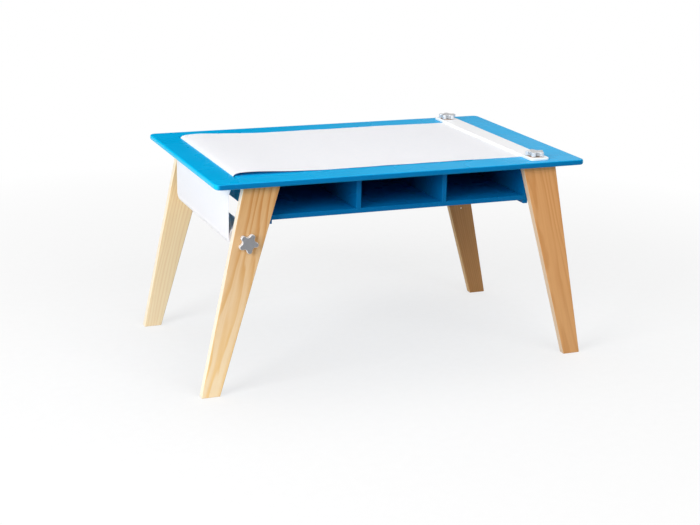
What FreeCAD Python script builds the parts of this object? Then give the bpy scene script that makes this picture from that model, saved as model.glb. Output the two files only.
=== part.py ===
import FreeCAD, Part
import math
import os

from FreeCAD import Rotation, Vector

# Children's craft table, in millimetres.
# X runs along the table (left to right), Y from front to back, Z up.
# The origin is on the floor, under the middle of the top.

# Table top
TOP_LENGTH = 958.0
TOP_THICK = 13.0
TOP_HEIGHT = 520.0
TOP_CORNER_R = 16.0
TOP_EDGE_R = 4.0

# Paper: an 18 inch roll, its core and the web that crosses the top
PAPER_WIDTH = 457.0
PAPER_THICK = 0.4
ROLL_R = 28.0
ROLL_END_ROOM = 36.5
CORE_WALL = 2.0
SLOT_WIDTH = 5.0
SLOT_END_ROOM = 21.5
SLOT_OUTBOARD = 15.7
WEB_ROLL_GAP = 0.3
WEB_SHIFT_RISE = 40.0
WEB_SHIFT_REACH = 1.0
WEB_CREST = 6.0
WEB_BEND_R = 12.0
WEB_SLOPE = 3.0
WEB_LANDING_R = 3000.0
WEB_TAIL_COVER = 8.0

# Legs: flat boards, tapered, leaning out along the table
LEG_THICK = 20.0
LEG_SETBACK = 21.0
LEG_TOP_SETIN = 73.0
LEG_TOP_WIDTH = 90.0
LEG_FOOT_WIDTH = 46.5
LEG_SPLAY = 105.0
LEG_EDGE_R = 2.0

# Tray with three cubbies
PANEL_THICK = 12.0
PANEL_FIT = 0.1
PANEL_EDGE_R = 1.0
GROOVE_DEPTH = 4.0
TRAY_LAP = 27.0
TRAY_SIDE_HEIGHT = 98.0
TRAY_BOTTOM_LIFT = 9.0
DADO_DEPTH = 3.0
CUBBIES = 3

# Corner blocks that tie leg, tray side and top together
BLOCK_WIDTH = 40.0
BLOCK_DEPTH = 40.0
BLOCK_HEIGHT = 70.0
BLOCK_ROWS = 4
BLOCK_BOLT_IN = 11.0
BLOCK_SCREW_EDGE = 8.0
BLOCK_EDGE_R = 1.5

# Leg bolts and their threaded inserts
BOLT_DIA = 6.0
BOLT_HEAD_DIA = 10.5
BOLT_HEAD_HEIGHT = 4.0
BOLT_SOCKET_SIDES = 6
BOLT_SOCKET_WIDTH = 4.0
BOLT_SOCKET_DEPTH = 2.2
BOLT_END_GAP = 1.0
LEG_INSERT_DIA = 10.0
LEG_INSERT_COVER = 7.0

# Wood screws
SCREW_DIA = 4.0
SCREW_HEAD_DIA = 8.0
BLOCK_SCREW_BITE = 14.0
TOP_SCREW_SEAT = 28.0
TOP_SCREW_BITE = 9.0
DIVIDER_SCREW_BITE = 20.0
DIVIDER_SCREWS = 3

# Star knobs, their studs and the inserts that the studs screw into
KNOB_R = 24.0
KNOB_ARMS = 5
KNOB_TIP_R = 6.0
KNOB_VALLEY = 15.5
KNOB_ARM_HEIGHT = 10.0
KNOB_BOSS_R = 10.0
KNOB_BOSS_HEIGHT = 0.6
KNOB_RIM_R = 1.5
STUD_DIA = 8.0
STUD_SEAT = 7.0
STUD_REACH = 14.0
STUD_END_GAP = 1.5
STUD_INSERT_DIA = 12.0
AXLE_INSERT_LENGTH = 18.0
CLAMP_INSERT_COVER = 3.0

# Roll axle, its height below the top's underside and its place outboard of the leg's middle
AXLE_DIA = 22.0
AXLE_DROP = 134.0
AXLE_OUTBOARD = 2.0

# Clamp bar
BAR_WIDTH = 52.0
BAR_THICK = 6.0
BAR_FROM_END = 115.5
BAR_STUD_ROOM = 26.5
BAR_END = 29.0
BAR_CORNER_R = 8.0
BAR_EDGE_R = 2.5
WASHER_DIA = 38.0
WASHER_THICK = 1.0

# Clearances: radial for round fits, plain for faces that turn on each other
FIT = 0.05
HOLE_ROOM = 0.3
RUNNING_ROOM = 0.3
KNOB_GAP = 0.2

# Turn of each knob about its own axis at rest, in degrees
ROLL_KNOB_TURN = {"front": 60.0, "back": 20.0}
CLAMP_KNOB_TURN = {"front": -58.0, "back": -69.0}

# Sides and ends of the table, as signs on X and Y
SIDES = {"left": -1, "right": 1}
ENDS = {"front": -1, "back": 1}

# Places that follow from the sizes above
UNDERSIDE = TOP_HEIGHT - TOP_THICK
LEG_INNER_Y = PAPER_WIDTH / 2 + ROLL_END_ROOM
LEG_OUTER_Y = LEG_INNER_Y + LEG_THICK
TOP_DEPTH = 2 * (LEG_OUTER_Y + LEG_SETBACK)
LEG_TOP_OUTER = TOP_LENGTH / 2 - LEG_TOP_SETIN
LEG_TOP_INNER = LEG_TOP_OUTER - LEG_TOP_WIDTH
LEG_FOOT_OUTER = LEG_TOP_OUTER + LEG_SPLAY
LEG_FOOT_INNER = LEG_FOOT_OUTER - LEG_FOOT_WIDTH

SIDE_OUTER = LEG_TOP_INNER + TRAY_LAP
SIDE_INNER = SIDE_OUTER - PANEL_THICK
TRAY_LOW = UNDERSIDE - TRAY_SIDE_HEIGHT
BOTTOM_LOW = TRAY_LOW + TRAY_BOTTOM_LIFT
BOTTOM_HIGH = BOTTOM_LOW + PANEL_THICK
BACK_FRONT = LEG_INNER_Y - PANEL_THICK
CUBBY_WIDTH = (2 * SIDE_INNER - (CUBBIES - 1) * PANEL_THICK) / CUBBIES

BLOCK_OUTER = SIDE_OUTER + BLOCK_WIDTH
BLOCK_INNER_Y = LEG_INNER_Y - BLOCK_DEPTH
BLOCK_MID_Y = LEG_INNER_Y - BLOCK_DEPTH / 2
LEG_BOLT_X = SIDE_OUTER + BLOCK_BOLT_IN
TOP_SCREW_X = BLOCK_OUTER - BLOCK_SCREW_EDGE
TOP_SCREW_Y = BLOCK_INNER_Y + BLOCK_SCREW_EDGE
LEG_INSERT_LENGTH = LEG_THICK - LEG_INSERT_COVER

AXLE_Z = UNDERSIDE - AXLE_DROP
AXLE_SHARE = AXLE_DROP / UNDERSIDE
LEG_MIDDLE = (
    (LEG_TOP_OUTER + LEG_TOP_INNER) * (1 - AXLE_SHARE)
    + (LEG_FOOT_OUTER + LEG_FOOT_INNER) * AXLE_SHARE
) / 2
AXLE_X = -(LEG_MIDDLE + AXLE_OUTBOARD)
CORE_INNER_R = AXLE_DIA / 2 + RUNNING_ROOM
CORE_OUTER_R = CORE_INNER_R + CORE_WALL
SLOT_X = AXLE_X - SLOT_OUTBOARD
SLOT_LENGTH = PAPER_WIDTH + 2 * SLOT_END_ROOM

BAR_X = TOP_LENGTH / 2 - BAR_FROM_END
BAR_LOW = TOP_HEIGHT + PAPER_THICK
BAR_HIGH = BAR_LOW + BAR_THICK
CLAMP_STUD_REACH = PAPER_WIDTH / 2 + BAR_STUD_ROOM
BAR_REACH = CLAMP_STUD_REACH + BAR_END
CLAMP_INSERT_LENGTH = TOP_THICK - CLAMP_INSERT_COVER

STUD_R = STUD_DIA / 2
STUD_HOLE_R = STUD_R + HOLE_ROOM
X_AXIS = Vector(1, 0, 0)
Y_AXIS = Vector(0, 1, 0)
Z_AXIS = Vector(0, 0, 1)
TINY = 1e-4


# Helpers for plain shapes
def box(x_span, y_span, z_span):
    """A block between two values on each axis, given in either order."""
    low = Vector(min(x_span), min(y_span), min(z_span))
    high = Vector(max(x_span), max(y_span), max(z_span))
    size = high - low
    return Part.makeBox(size.x, size.y, size.z, low)


def rod(start, axis, radius, length):
    """A cylinder from a point along an axis."""
    return Part.makeCylinder(radius, length, start, axis)


def tube(start, axis, outer_r, inner_r, length):
    """A cylinder with a bore right through."""
    return rod(start, axis, outer_r, length).cut(rod(start, axis, inner_r, length))


def ease(shape, radius, wanted):
    """Rounds the edges that a test picks."""
    edges = [edge for edge in shape.Edges if wanted(edge)]
    return shape.makeFillet(radius, edges)


def runs_along(edge, axis):
    """Whether an edge is straight and parallel to an axis."""
    if not isinstance(edge.Curve, Part.Line):
        return False
    return abs(abs(edge.Curve.Direction.dot(axis)) - 1) < TINY


def lies_on(edge, axis, value):
    """Whether every end of an edge has the given value on an axis."""
    return all(abs(vertex.Point.dot(axis) - value) < TINY for vertex in edge.Vertexes)


def cut_all(shape, tools):
    """Cuts a list of tools from a shape."""
    for tool in tools:
        shape = shape.cut(tool)
    return shape


def single(shape):
    """The one solid that a shape holds."""
    (solid,) = shape.Solids
    return solid


# Fasteners
def countersunk_screw(head, axis, length):
    """A wood screw whose flat head starts at a point and points along an axis."""
    head_r = SCREW_HEAD_DIA / 2
    shank_r = SCREW_DIA / 2
    cone_depth = head_r - shank_r
    cone = Part.makeCone(head_r, shank_r, cone_depth, head, axis)
    point_depth = shank_r
    shank = rod(head + axis * cone_depth, axis, shank_r, length - cone_depth - point_depth)
    tip = Part.makeCone(shank_r, 0, point_depth, head + axis * (length - point_depth), axis)
    return single(cone.fuse([shank, tip]).removeSplitter())


def screw_hole(head, axis, length):
    """The seat and pilot hole of a wood screw, with its fit."""
    head_r = SCREW_HEAD_DIA / 2 + FIT
    shank_r = SCREW_DIA / 2 + FIT
    cone = Part.makeCone(head_r, shank_r, head_r - shank_r, head, axis)
    return cone.fuse(rod(head, axis, shank_r, length + FIT))


def leg_bolt(head, axis, length):
    """A cap bolt with a hexagon socket; the head stands behind its start point."""
    shank = rod(head, axis, BOLT_DIA / 2, length)
    cap = rod(head, axis * -1, BOLT_HEAD_DIA / 2, BOLT_HEAD_HEIGHT)
    half_step = math.pi / BOLT_SOCKET_SIDES
    corner_r = BOLT_SOCKET_WIDTH / 2 / math.cos(half_step)
    across = Vector(axis.z, axis.x, axis.y)
    up = axis.cross(across)
    floor = head - axis * (BOLT_HEAD_HEIGHT - BOLT_SOCKET_DEPTH)
    corners = []
    for k in range(BOLT_SOCKET_SIDES):
        angle = 2 * k * half_step
        corners.append(floor + across * (corner_r * math.cos(angle)) + up * (corner_r * math.sin(angle)))
    socket = Part.Face(Part.makePolygon(corners + corners[:1])).extrude(axis * -BOLT_SOCKET_DEPTH)
    return single(shank.fuse(cap).cut(socket).removeSplitter())


def insert(mouth, axis, outer_dia, bore_dia, length):
    """A threaded insert, as a plain sleeve from its mouth inwards."""
    return tube(mouth, axis, outer_dia / 2, bore_dia / 2 + FIT, length)


def insert_hole(mouth, axis, outer_dia, length):
    """The hole that an insert sits in."""
    return rod(mouth, axis, outer_dia / 2 + FIT, length)


# Star knob and stud, made standing on the origin and then set on their axis
def star_outline(turn):
    """Five round arms with round valleys, all tangent to each other."""
    tip_at = KNOB_R - KNOB_TIP_R
    half_step = math.pi / KNOB_ARMS
    spare = KNOB_TIP_R - KNOB_VALLEY
    valley_at = (tip_at ** 2 - spare ** 2) / (2 * (spare + tip_at * math.cos(half_step)))
    valley_r = valley_at - KNOB_VALLEY

    def polar(radius, angle):
        return Vector(radius * math.cos(angle), radius * math.sin(angle), 0)

    def touch(arm, side):
        """Where an arm's tip meets the valley on one side of it."""
        tip = polar(tip_at, arm)
        valley = polar(valley_at, arm + side * half_step)
        return tip + (valley - tip) * (KNOB_TIP_R / (KNOB_TIP_R + valley_r))

    edges = []
    for k in range(KNOB_ARMS):
        arm = math.radians(turn) + 2 * k * half_step
        following = arm + 2 * half_step
        start, end = touch(arm, -1), touch(arm, 1)
        edges.append(Part.Arc(start, polar(KNOB_R, arm), end).toShape())
        bottom = polar(KNOB_VALLEY, arm + half_step)
        edges.append(Part.Arc(end, bottom, touch(following, -1)).toShape())
    return Part.Wire(edges)


def star_knob(turn):
    """A moulded star knob with a round boss and a blind hole for its stud."""
    arms = Part.Face(star_outline(turn)).extrude(Z_AXIS * KNOB_ARM_HEIGHT)
    arms.translate(Z_AXIS * KNOB_BOSS_HEIGHT)
    crown = KNOB_BOSS_HEIGHT + KNOB_ARM_HEIGHT
    arms = ease(arms, KNOB_RIM_R, lambda edge: lies_on(edge, Z_AXIS, crown))
    boss = rod(Vector(), Z_AXIS, KNOB_BOSS_R, crown - KNOB_RIM_R)
    hole = rod(Vector(), Z_AXIS, STUD_R + FIT, STUD_SEAT + FIT)
    return single(arms.fuse(boss).removeSplitter().cut(hole))


def knob_stud(reach):
    """The stud moulded into a knob, standing out below its boss by a reach."""
    return rod(Z_AXIS * -reach, Z_AXIS, STUD_R, reach + STUD_SEAT)


def set_on_axis(shape, base, axis):
    """Moves a shape made on the origin so that its Z lies along an axis from a base point."""
    placed = shape.copy()
    placed.Placement = FreeCAD.Placement(base, Rotation(Z_AXIS, axis))
    return placed


# Paper web: a strip of straight runs and bends in the XZ plane
def web_moves():
    """The web's way from the roll to the clamp bar, as (length or radius, turn in degrees)."""
    roll_side = AXLE_X - ROLL_R - WEB_ROLL_GAP - PAPER_THICK / 2
    shift = SLOT_X - roll_side
    shift_top = UNDERSIDE + WEB_SHIFT_REACH
    shift_turn = 2 * math.atan2(shift, WEB_SHIFT_RISE)
    shift_r = WEB_SHIFT_RISE / (2 * math.sin(shift_turn))
    bend_low = TOP_HEIGHT + WEB_CREST - WEB_BEND_R
    slope = math.radians(WEB_SLOPE)
    drop = bend_low + WEB_BEND_R * math.cos(slope) - (TOP_HEIGHT + PAPER_THICK / 2)
    glide = (drop - WEB_LANDING_R * (1 - math.cos(slope))) / math.sin(slope)
    landing = SLOT_X + WEB_BEND_R * (1 + math.sin(slope))
    landing += glide * math.cos(slope) + WEB_LANDING_R * math.sin(slope)
    tail = BAR_X + BAR_WIDTH / 2 - WEB_TAIL_COVER - landing
    turn = math.degrees(shift_turn)
    moves = [
        (shift_top - WEB_SHIFT_RISE - AXLE_Z, 0),
        (shift_r, -turn),
        (shift_r, turn),
        (bend_low - shift_top, 0),
        (WEB_BEND_R, -(90 + WEB_SLOPE)),
        (glide, 0),
        (WEB_LANDING_R, WEB_SLOPE),
        (tail, 0),
    ]
    return Vector(roll_side, 0, AXLE_Z), moves


def strip(start, heading, moves, thick):
    """A closed face that follows the moves at a constant thickness."""
    faces = {1: [], -1: []}
    half = thick / 2

    def left_of(angle):
        return Vector(-math.sin(angle), 0, math.cos(angle))

    head_cap = Part.LineSegment(start - left_of(heading) * half, start + left_of(heading) * half)
    point = start
    for size, turn in moves:
        normal = left_of(heading)
        if turn == 0:
            ahead = Vector(math.cos(heading), 0, math.sin(heading))
            following = point + ahead * size
            for side, edges in faces.items():
                shift = normal * (side * half)
                edges.append(Part.LineSegment(point + shift, following + shift).toShape())
            point = following
            continue
        hand = math.copysign(1, turn)
        centre = point + normal * (hand * size)
        for side, edges in faces.items():
            spoke = point + normal * (side * half) - centre
            marks = []
            for share in (0, 0.5, 1):
                spin = Rotation(Y_AXIS, -turn * share)
                marks.append(centre + spin.multVec(spoke))
            edges.append(Part.Arc(*marks).toShape())
        point = centre + Rotation(Y_AXIS, -turn).multVec(point - centre)
        heading += math.radians(turn)
    tail_cap = Part.LineSegment(point + left_of(heading) * half, point - left_of(heading) * half)
    outline = faces[1] + [tail_cap.toShape()] + faces[-1][::-1] + [head_cap.toShape()]
    return Part.Face(Part.Wire(Part.__sortEdges__(outline)))


def make_paper_web():
    """The sheet from the roll's side, up through the slot and along the top."""
    start, moves = web_moves()
    section = strip(start, math.pi / 2, moves, PAPER_THICK)
    section.translate(Y_AXIS * (-PAPER_WIDTH / 2))
    return single(section.extrude(Y_AXIS * PAPER_WIDTH))


# Table top
def clamp_stud_place(end, height):
    """Point on a clamp stud's axis at a height."""
    return Vector(BAR_X, end * CLAMP_STUD_REACH, height)


def make_table_top():
    """The board, its eased edges, the paper slot, the clamp inserts' holes and screw holes."""
    half_x, half_y = TOP_LENGTH / 2, TOP_DEPTH / 2
    board = box((-half_x, half_x), (-half_y, half_y), (UNDERSIDE, TOP_HEIGHT))
    board = ease(board, TOP_CORNER_R, lambda edge: runs_along(edge, Z_AXIS))
    board = ease(
        board,
        TOP_EDGE_R,
        lambda edge: lies_on(edge, Z_AXIS, TOP_HEIGHT) or lies_on(edge, Z_AXIS, UNDERSIDE),
    )
    slot_r = SLOT_WIDTH / 2
    straight = SLOT_LENGTH / 2 - slot_r
    slot = box((SLOT_X - slot_r, SLOT_X + slot_r), (-straight, straight), (UNDERSIDE, TOP_HEIGHT))
    rounds = []
    for end in ENDS.values():
        rounds.append(rod(Vector(SLOT_X, end * straight, UNDERSIDE), Z_AXIS, slot_r, TOP_THICK))
    slot = slot.fuse(rounds).removeSplitter()
    tools = [slot]
    for end in ENDS.values():
        mouth = clamp_stud_place(end, UNDERSIDE)
        tools.append(insert_hole(mouth, Z_AXIS, STUD_INSERT_DIA, CLAMP_INSERT_LENGTH))
        tools.append(rod(mouth, Z_AXIS, STUD_HOLE_R, TOP_THICK))
    for head in top_screw_heads():
        tools.append(screw_hole(head, Z_AXIS, TOP_SCREW_SEAT + TOP_SCREW_BITE))
    return single(cut_all(board, tools))


# Legs
def make_leg(side, end):
    """One tapered leg with the holes for its inserts and, at the left, the roll stud."""
    inner_y, outer_y = end * LEG_INNER_Y, end * LEG_OUTER_Y
    corners = [
        Vector(side * LEG_TOP_INNER, inner_y, UNDERSIDE),
        Vector(side * LEG_TOP_OUTER, inner_y, UNDERSIDE),
        Vector(side * LEG_FOOT_OUTER, inner_y, 0),
        Vector(side * LEG_FOOT_INNER, inner_y, 0),
    ]
    outline = Part.Face(Part.makePolygon(corners + corners[:1]))
    board = outline.extrude(Y_AXIS * (outer_y - inner_y))
    board = ease(board, LEG_EDGE_R, lambda edge: not lies_on(edge, Z_AXIS, UNDERSIDE))
    outward = Y_AXIS * end
    tools = []
    for mouth in leg_insert_mouths(side, end):
        tools.append(insert_hole(mouth, outward, LEG_INSERT_DIA, LEG_INSERT_LENGTH))
    if side == SIDES["left"]:
        tools.append(rod(Vector(AXLE_X, inner_y, AXLE_Z), outward, STUD_HOLE_R, LEG_THICK))
    return single(cut_all(board, tools))


def block_row(row):
    """Height of a fastener row in a corner block, counted down from the top."""
    return UNDERSIDE - BLOCK_HEIGHT * (row + 0.5) / BLOCK_ROWS


def bolt_rows():
    """Heights of the leg bolts: every second row."""
    return [block_row(row) for row in range(0, BLOCK_ROWS, 2)]


def screw_rows():
    """Heights of the block screws: the rows between the bolts."""
    return [block_row(row) for row in range(1, BLOCK_ROWS, 2)]


def leg_insert_mouths(side, end):
    """Where a leg's inserts open, on its inner face."""
    return [Vector(side * LEG_BOLT_X, end * LEG_INNER_Y, z) for z in bolt_rows()]


def corners_of_table():
    """Every pair of signs for side and end."""
    return [(side, end) for side in SIDES.values() for end in ENDS.values()]


# Tray
def make_tray_side(side):
    """A side wall with its groove for the bottom, its rabbet for the back and screw holes."""
    wall = box(
        (side * SIDE_INNER, side * SIDE_OUTER),
        (-LEG_INNER_Y, LEG_INNER_Y),
        (TRAY_LOW, UNDERSIDE),
    )
    wall = ease(
        wall,
        PANEL_EDGE_R,
        lambda edge: runs_along(edge, Y_AXIS) and lies_on(edge, Z_AXIS, TRAY_LOW),
    )
    groove_x = (side * (SIDE_INNER - PANEL_THICK), side * (SIDE_INNER + GROOVE_DEPTH))
    groove = box(
        groove_x,
        (-LEG_INNER_Y, LEG_INNER_Y),
        (BOTTOM_LOW - PANEL_FIT, BOTTOM_HIGH + PANEL_FIT),
    )
    rabbet = box(groove_x, (BACK_FRONT - PANEL_FIT, LEG_INNER_Y), (BOTTOM_LOW, UNDERSIDE))
    tools = [groove, rabbet]
    for end in ENDS.values():
        for head in block_screw_heads(side, end):
            tools.append(screw_hole(head, X_AXIS * side, PANEL_THICK + BLOCK_SCREW_BITE))
    return single(cut_all(wall, tools))


def panel_reach():
    """Half width of a panel whose ends sit in the side walls' grooves."""
    return SIDE_INNER + GROOVE_DEPTH - PANEL_FIT


def divider_centres():
    """Middles of the dividers along the table."""
    first = -SIDE_INNER + CUBBY_WIDTH + PANEL_THICK / 2
    return [first + k * (CUBBY_WIDTH + PANEL_THICK) for k in range(CUBBIES - 1)]


def make_tray_bottom():
    """The tray's floor with a dado and screw holes under each divider."""
    reach = panel_reach()
    floor = box((-reach, reach), (-LEG_INNER_Y, LEG_INNER_Y), (BOTTOM_LOW, BOTTOM_HIGH))
    floor = ease(
        floor,
        PANEL_EDGE_R,
        lambda edge: runs_along(edge, X_AXIS) and lies_on(edge, Y_AXIS, -LEG_INNER_Y),
    )
    half = PANEL_THICK / 2 + PANEL_FIT
    tools = []
    for centre in divider_centres():
        tools.append(
            box(
                (centre - half, centre + half),
                (-LEG_INNER_Y, BACK_FRONT),
                (BOTTOM_HIGH - DADO_DEPTH, BOTTOM_HIGH),
            )
        )
    for head in divider_screw_heads():
        tools.append(screw_hole(head, Z_AXIS, divider_screw_length()))
    return single(cut_all(floor, tools))


def make_tray_back():
    """The back wall, standing on the floor between the side walls."""
    reach = panel_reach()
    return box((-reach, reach), (BACK_FRONT, LEG_INNER_Y), (BOTTOM_HIGH, UNDERSIDE))


def make_divider(centre):
    """A wall between two cubbies, standing in its dado."""
    half = PANEL_THICK / 2
    wall = box(
        (centre - half, centre + half),
        (-LEG_INNER_Y, BACK_FRONT - PANEL_FIT),
        (BOTTOM_HIGH - DADO_DEPTH, UNDERSIDE),
    )
    wall = ease(
        wall,
        PANEL_EDGE_R,
        lambda edge: runs_along(edge, Z_AXIS) and lies_on(edge, Y_AXIS, -LEG_INNER_Y),
    )
    tools = []
    for head in divider_screw_heads():
        if abs(head.x - centre) < half:
            tools.append(screw_hole(head, Z_AXIS, divider_screw_length()))
    return single(cut_all(wall, tools))


# Places of the wood screws
def top_screw_heads():
    """Seats of the screws that hold the blocks to the top."""
    seat = UNDERSIDE - TOP_SCREW_SEAT
    return [
        Vector(side * TOP_SCREW_X, end * TOP_SCREW_Y, seat) for side, end in corners_of_table()
    ]


def block_screw_heads(side, end):
    """Seats of the screws from inside the tray into one block."""
    return [Vector(side * SIDE_INNER, end * BLOCK_MID_Y, z) for z in screw_rows()]


def divider_screw_heads():
    """Seats of the screws under the tray floor, spaced evenly along each divider."""
    span = BACK_FRONT + LEG_INNER_Y
    heads = []
    for centre in divider_centres():
        for k in range(DIVIDER_SCREWS):
            y = -LEG_INNER_Y + span * (k + 0.5) / DIVIDER_SCREWS
            heads.append(Vector(centre, y, BOTTOM_LOW))
    return heads


def divider_screw_length():
    """Through the floor under the dado and on into the divider."""
    return PANEL_THICK - DADO_DEPTH + DIVIDER_SCREW_BITE


# Corner blocks and their fasteners
def make_corner_block(side, end):
    """The block behind one leg, with clearance holes for bolts and pilot holes for screws."""
    block = box(
        (side * SIDE_OUTER, side * BLOCK_OUTER),
        (end * BLOCK_INNER_Y, end * LEG_INNER_Y),
        (UNDERSIDE - BLOCK_HEIGHT, UNDERSIDE),
    )
    block = ease(
        block,
        BLOCK_EDGE_R,
        lambda edge: runs_along(edge, Z_AXIS) and lies_on(edge, Y_AXIS, end * BLOCK_INNER_Y),
    )
    tools = []
    for z in bolt_rows():
        start = Vector(side * LEG_BOLT_X, end * BLOCK_INNER_Y, z)
        tools.append(rod(start, Y_AXIS * end, BOLT_DIA / 2 + HOLE_ROOM, BLOCK_DEPTH))
    for head in block_screw_heads(side, end):
        tools.append(screw_hole(head, X_AXIS * side, PANEL_THICK + BLOCK_SCREW_BITE))
    seat = Vector(side * TOP_SCREW_X, end * TOP_SCREW_Y, UNDERSIDE - TOP_SCREW_SEAT)
    tools.append(screw_hole(seat, Z_AXIS, TOP_SCREW_SEAT + TOP_SCREW_BITE))
    well = BLOCK_HEIGHT - TOP_SCREW_SEAT
    tools.append(rod(seat, Z_AXIS * -1, SCREW_HEAD_DIA / 2 + FIT, well))
    return single(cut_all(block, tools))


def make_leg_bolts():
    """Two bolts for each leg, through its block."""
    length = BLOCK_DEPTH + LEG_INSERT_LENGTH - BOLT_END_GAP
    bolts = []
    for side, end in corners_of_table():
        for z in bolt_rows():
            head = Vector(side * LEG_BOLT_X, end * BLOCK_INNER_Y, z)
            bolts.append(leg_bolt(head, Y_AXIS * end, length))
    return Part.makeCompound(bolts)


def make_leg_inserts():
    """The threaded inserts of the leg bolts."""
    inserts = []
    for side, end in corners_of_table():
        for mouth in leg_insert_mouths(side, end):
            inserts.append(insert(mouth, Y_AXIS * end, LEG_INSERT_DIA, BOLT_DIA, LEG_INSERT_LENGTH))
    return Part.makeCompound(inserts)


def make_block_screws():
    """Screws from inside the tray into the corner blocks."""
    screws = []
    for side, end in corners_of_table():
        for head in block_screw_heads(side, end):
            screws.append(countersunk_screw(head, X_AXIS * side, PANEL_THICK + BLOCK_SCREW_BITE))
    return Part.makeCompound(screws)


def make_top_screws():
    """Screws from the corner blocks up into the top."""
    length = TOP_SCREW_SEAT + TOP_SCREW_BITE
    return Part.makeCompound([countersunk_screw(head, Z_AXIS, length) for head in top_screw_heads()])


def make_divider_screws():
    """Screws from under the tray floor into the dividers."""
    length = divider_screw_length()
    return Part.makeCompound([countersunk_screw(head, Z_AXIS, length) for head in divider_screw_heads()])


# Roll, axle and their knobs
def make_roll_axle():
    """The dowel between the left legs, bored at both ends for its inserts."""
    dowel = rod(Vector(AXLE_X, -LEG_INNER_Y, AXLE_Z), Y_AXIS, AXLE_DIA / 2, 2 * LEG_INNER_Y)
    tools = []
    for end in ENDS.values():
        mouth = Vector(AXLE_X, end * LEG_INNER_Y, AXLE_Z)
        tools.append(insert_hole(mouth, Y_AXIS * -end, STUD_INSERT_DIA, AXLE_INSERT_LENGTH))
    return single(cut_all(dowel, tools))


def make_axle_inserts():
    """The threaded inserts in the dowel's ends."""
    inserts = []
    for end in ENDS.values():
        mouth = Vector(AXLE_X, end * LEG_INNER_Y, AXLE_Z)
        inserts.append(insert(mouth, Y_AXIS * -end, STUD_INSERT_DIA, STUD_DIA, AXLE_INSERT_LENGTH))
    return Part.makeCompound(inserts)


def roll_tube(outer_r, inner_r):
    """A tube round the axle, as long as the paper is wide."""
    start = Vector(AXLE_X, -PAPER_WIDTH / 2, AXLE_Z)
    return tube(start, Y_AXIS, outer_r, inner_r, PAPER_WIDTH)


def roll_knob_base(end):
    """Foot of a roll knob's boss, just off the leg's outer face."""
    return Vector(AXLE_X, end * (LEG_OUTER_Y + KNOB_GAP), AXLE_Z)


# Clamp bar and its hardware
def make_clamp_bar():
    """The bar that lies on the paper's end, with two holes for the studs."""
    x_span = (BAR_X - BAR_WIDTH / 2, BAR_X + BAR_WIDTH / 2)
    bar = box(x_span, (-BAR_REACH, BAR_REACH), (BAR_LOW, BAR_HIGH))
    bar = ease(bar, BAR_CORNER_R, lambda edge: runs_along(edge, Z_AXIS))
    bar = ease(bar, BAR_EDGE_R, lambda edge: lies_on(edge, Z_AXIS, BAR_HIGH))
    tools = []
    for end in ENDS.values():
        tools.append(rod(clamp_stud_place(end, BAR_LOW), Z_AXIS, STUD_HOLE_R, BAR_THICK))
    return single(cut_all(bar, tools))


def make_clamp_washers():
    """A washer under each knob of the bar."""
    washers = []
    for end in ENDS.values():
        start = clamp_stud_place(end, BAR_HIGH)
        washers.append(tube(start, Z_AXIS, WASHER_DIA / 2, STUD_HOLE_R, WASHER_THICK))
    return Part.makeCompound(washers)


def make_clamp_inserts():
    """The threaded inserts in the top, under the bar."""
    inserts = []
    for end in ENDS.values():
        mouth = clamp_stud_place(end, UNDERSIDE)
        inserts.append(insert(mouth, Z_AXIS, STUD_INSERT_DIA, STUD_DIA, CLAMP_INSERT_LENGTH))
    return Part.makeCompound(inserts)


def clamp_knob_base(end):
    """Foot of a clamp knob's boss, just off its washer."""
    return clamp_stud_place(end, BAR_HIGH + WASHER_THICK + KNOB_GAP)


def build():
    """Every node of the table, by name."""
    nodes = {"table_top": make_table_top()}
    for end_name, end in ENDS.items():
        for side_name, side in SIDES.items():
            nodes[f"leg_{end_name}_{side_name}"] = make_leg(side, end)
            nodes[f"corner_block_{end_name}_{side_name}"] = make_corner_block(side, end)
    for side_name, side in SIDES.items():
        nodes[f"tray_side_{side_name}"] = make_tray_side(side)
    nodes["tray_bottom"] = make_tray_bottom()
    nodes["tray_back"] = make_tray_back()
    for side_name, centre in zip(SIDES, divider_centres()):
        nodes[f"divider_{side_name}"] = make_divider(centre)
    nodes["leg_bolts"] = make_leg_bolts()
    nodes["leg_inserts"] = make_leg_inserts()
    nodes["block_screws"] = make_block_screws()
    nodes["top_screws"] = make_top_screws()
    nodes["divider_screws"] = make_divider_screws()

    nodes["roll_axle"] = make_roll_axle()
    nodes["axle_inserts"] = make_axle_inserts()
    nodes["roll_core"] = roll_tube(CORE_OUTER_R, CORE_INNER_R)
    nodes["paper_roll"] = roll_tube(ROLL_R, CORE_OUTER_R + FIT)
    nodes["paper_web"] = make_paper_web()

    nodes["clamp_bar"] = make_clamp_bar()
    nodes["clamp_washers"] = make_clamp_washers()
    nodes["clamp_inserts"] = make_clamp_inserts()

    roll_reach = KNOB_GAP + LEG_THICK + STUD_REACH
    for end_name, end in ENDS.items():
        base, axis = roll_knob_base(end), Y_AXIS * end
        knob = star_knob(ROLL_KNOB_TURN[end_name])
        nodes[f"roll_knob_{end_name}"] = set_on_axis(knob, base, axis)
        nodes[f"roll_stud_{end_name}"] = set_on_axis(knob_stud(roll_reach), base, axis)
        base = clamp_knob_base(end)
        clamp_reach = base.z - UNDERSIDE - STUD_END_GAP
        knob = star_knob(CLAMP_KNOB_TURN[end_name])
        nodes[f"clamp_knob_{end_name}"] = set_on_axis(knob, base, Z_AXIS)
        nodes[f"clamp_stud_{end_name}"] = set_on_axis(knob_stud(clamp_reach), base, Z_AXIS)
    return nodes


def main():
    """Builds the table and writes one STEP file for each node."""
    os.makedirs("parts", exist_ok=True)
    for name, shape in build().items():
        if not shape.isValid():
            raise ValueError(f"{name} is not a valid shape")
        shape.exportStep(f"parts/{name}.step")
        print(name, len(shape.Solids), "solid(s),", round(shape.Volume / 1000, 2), "cm3")


main()
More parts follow.
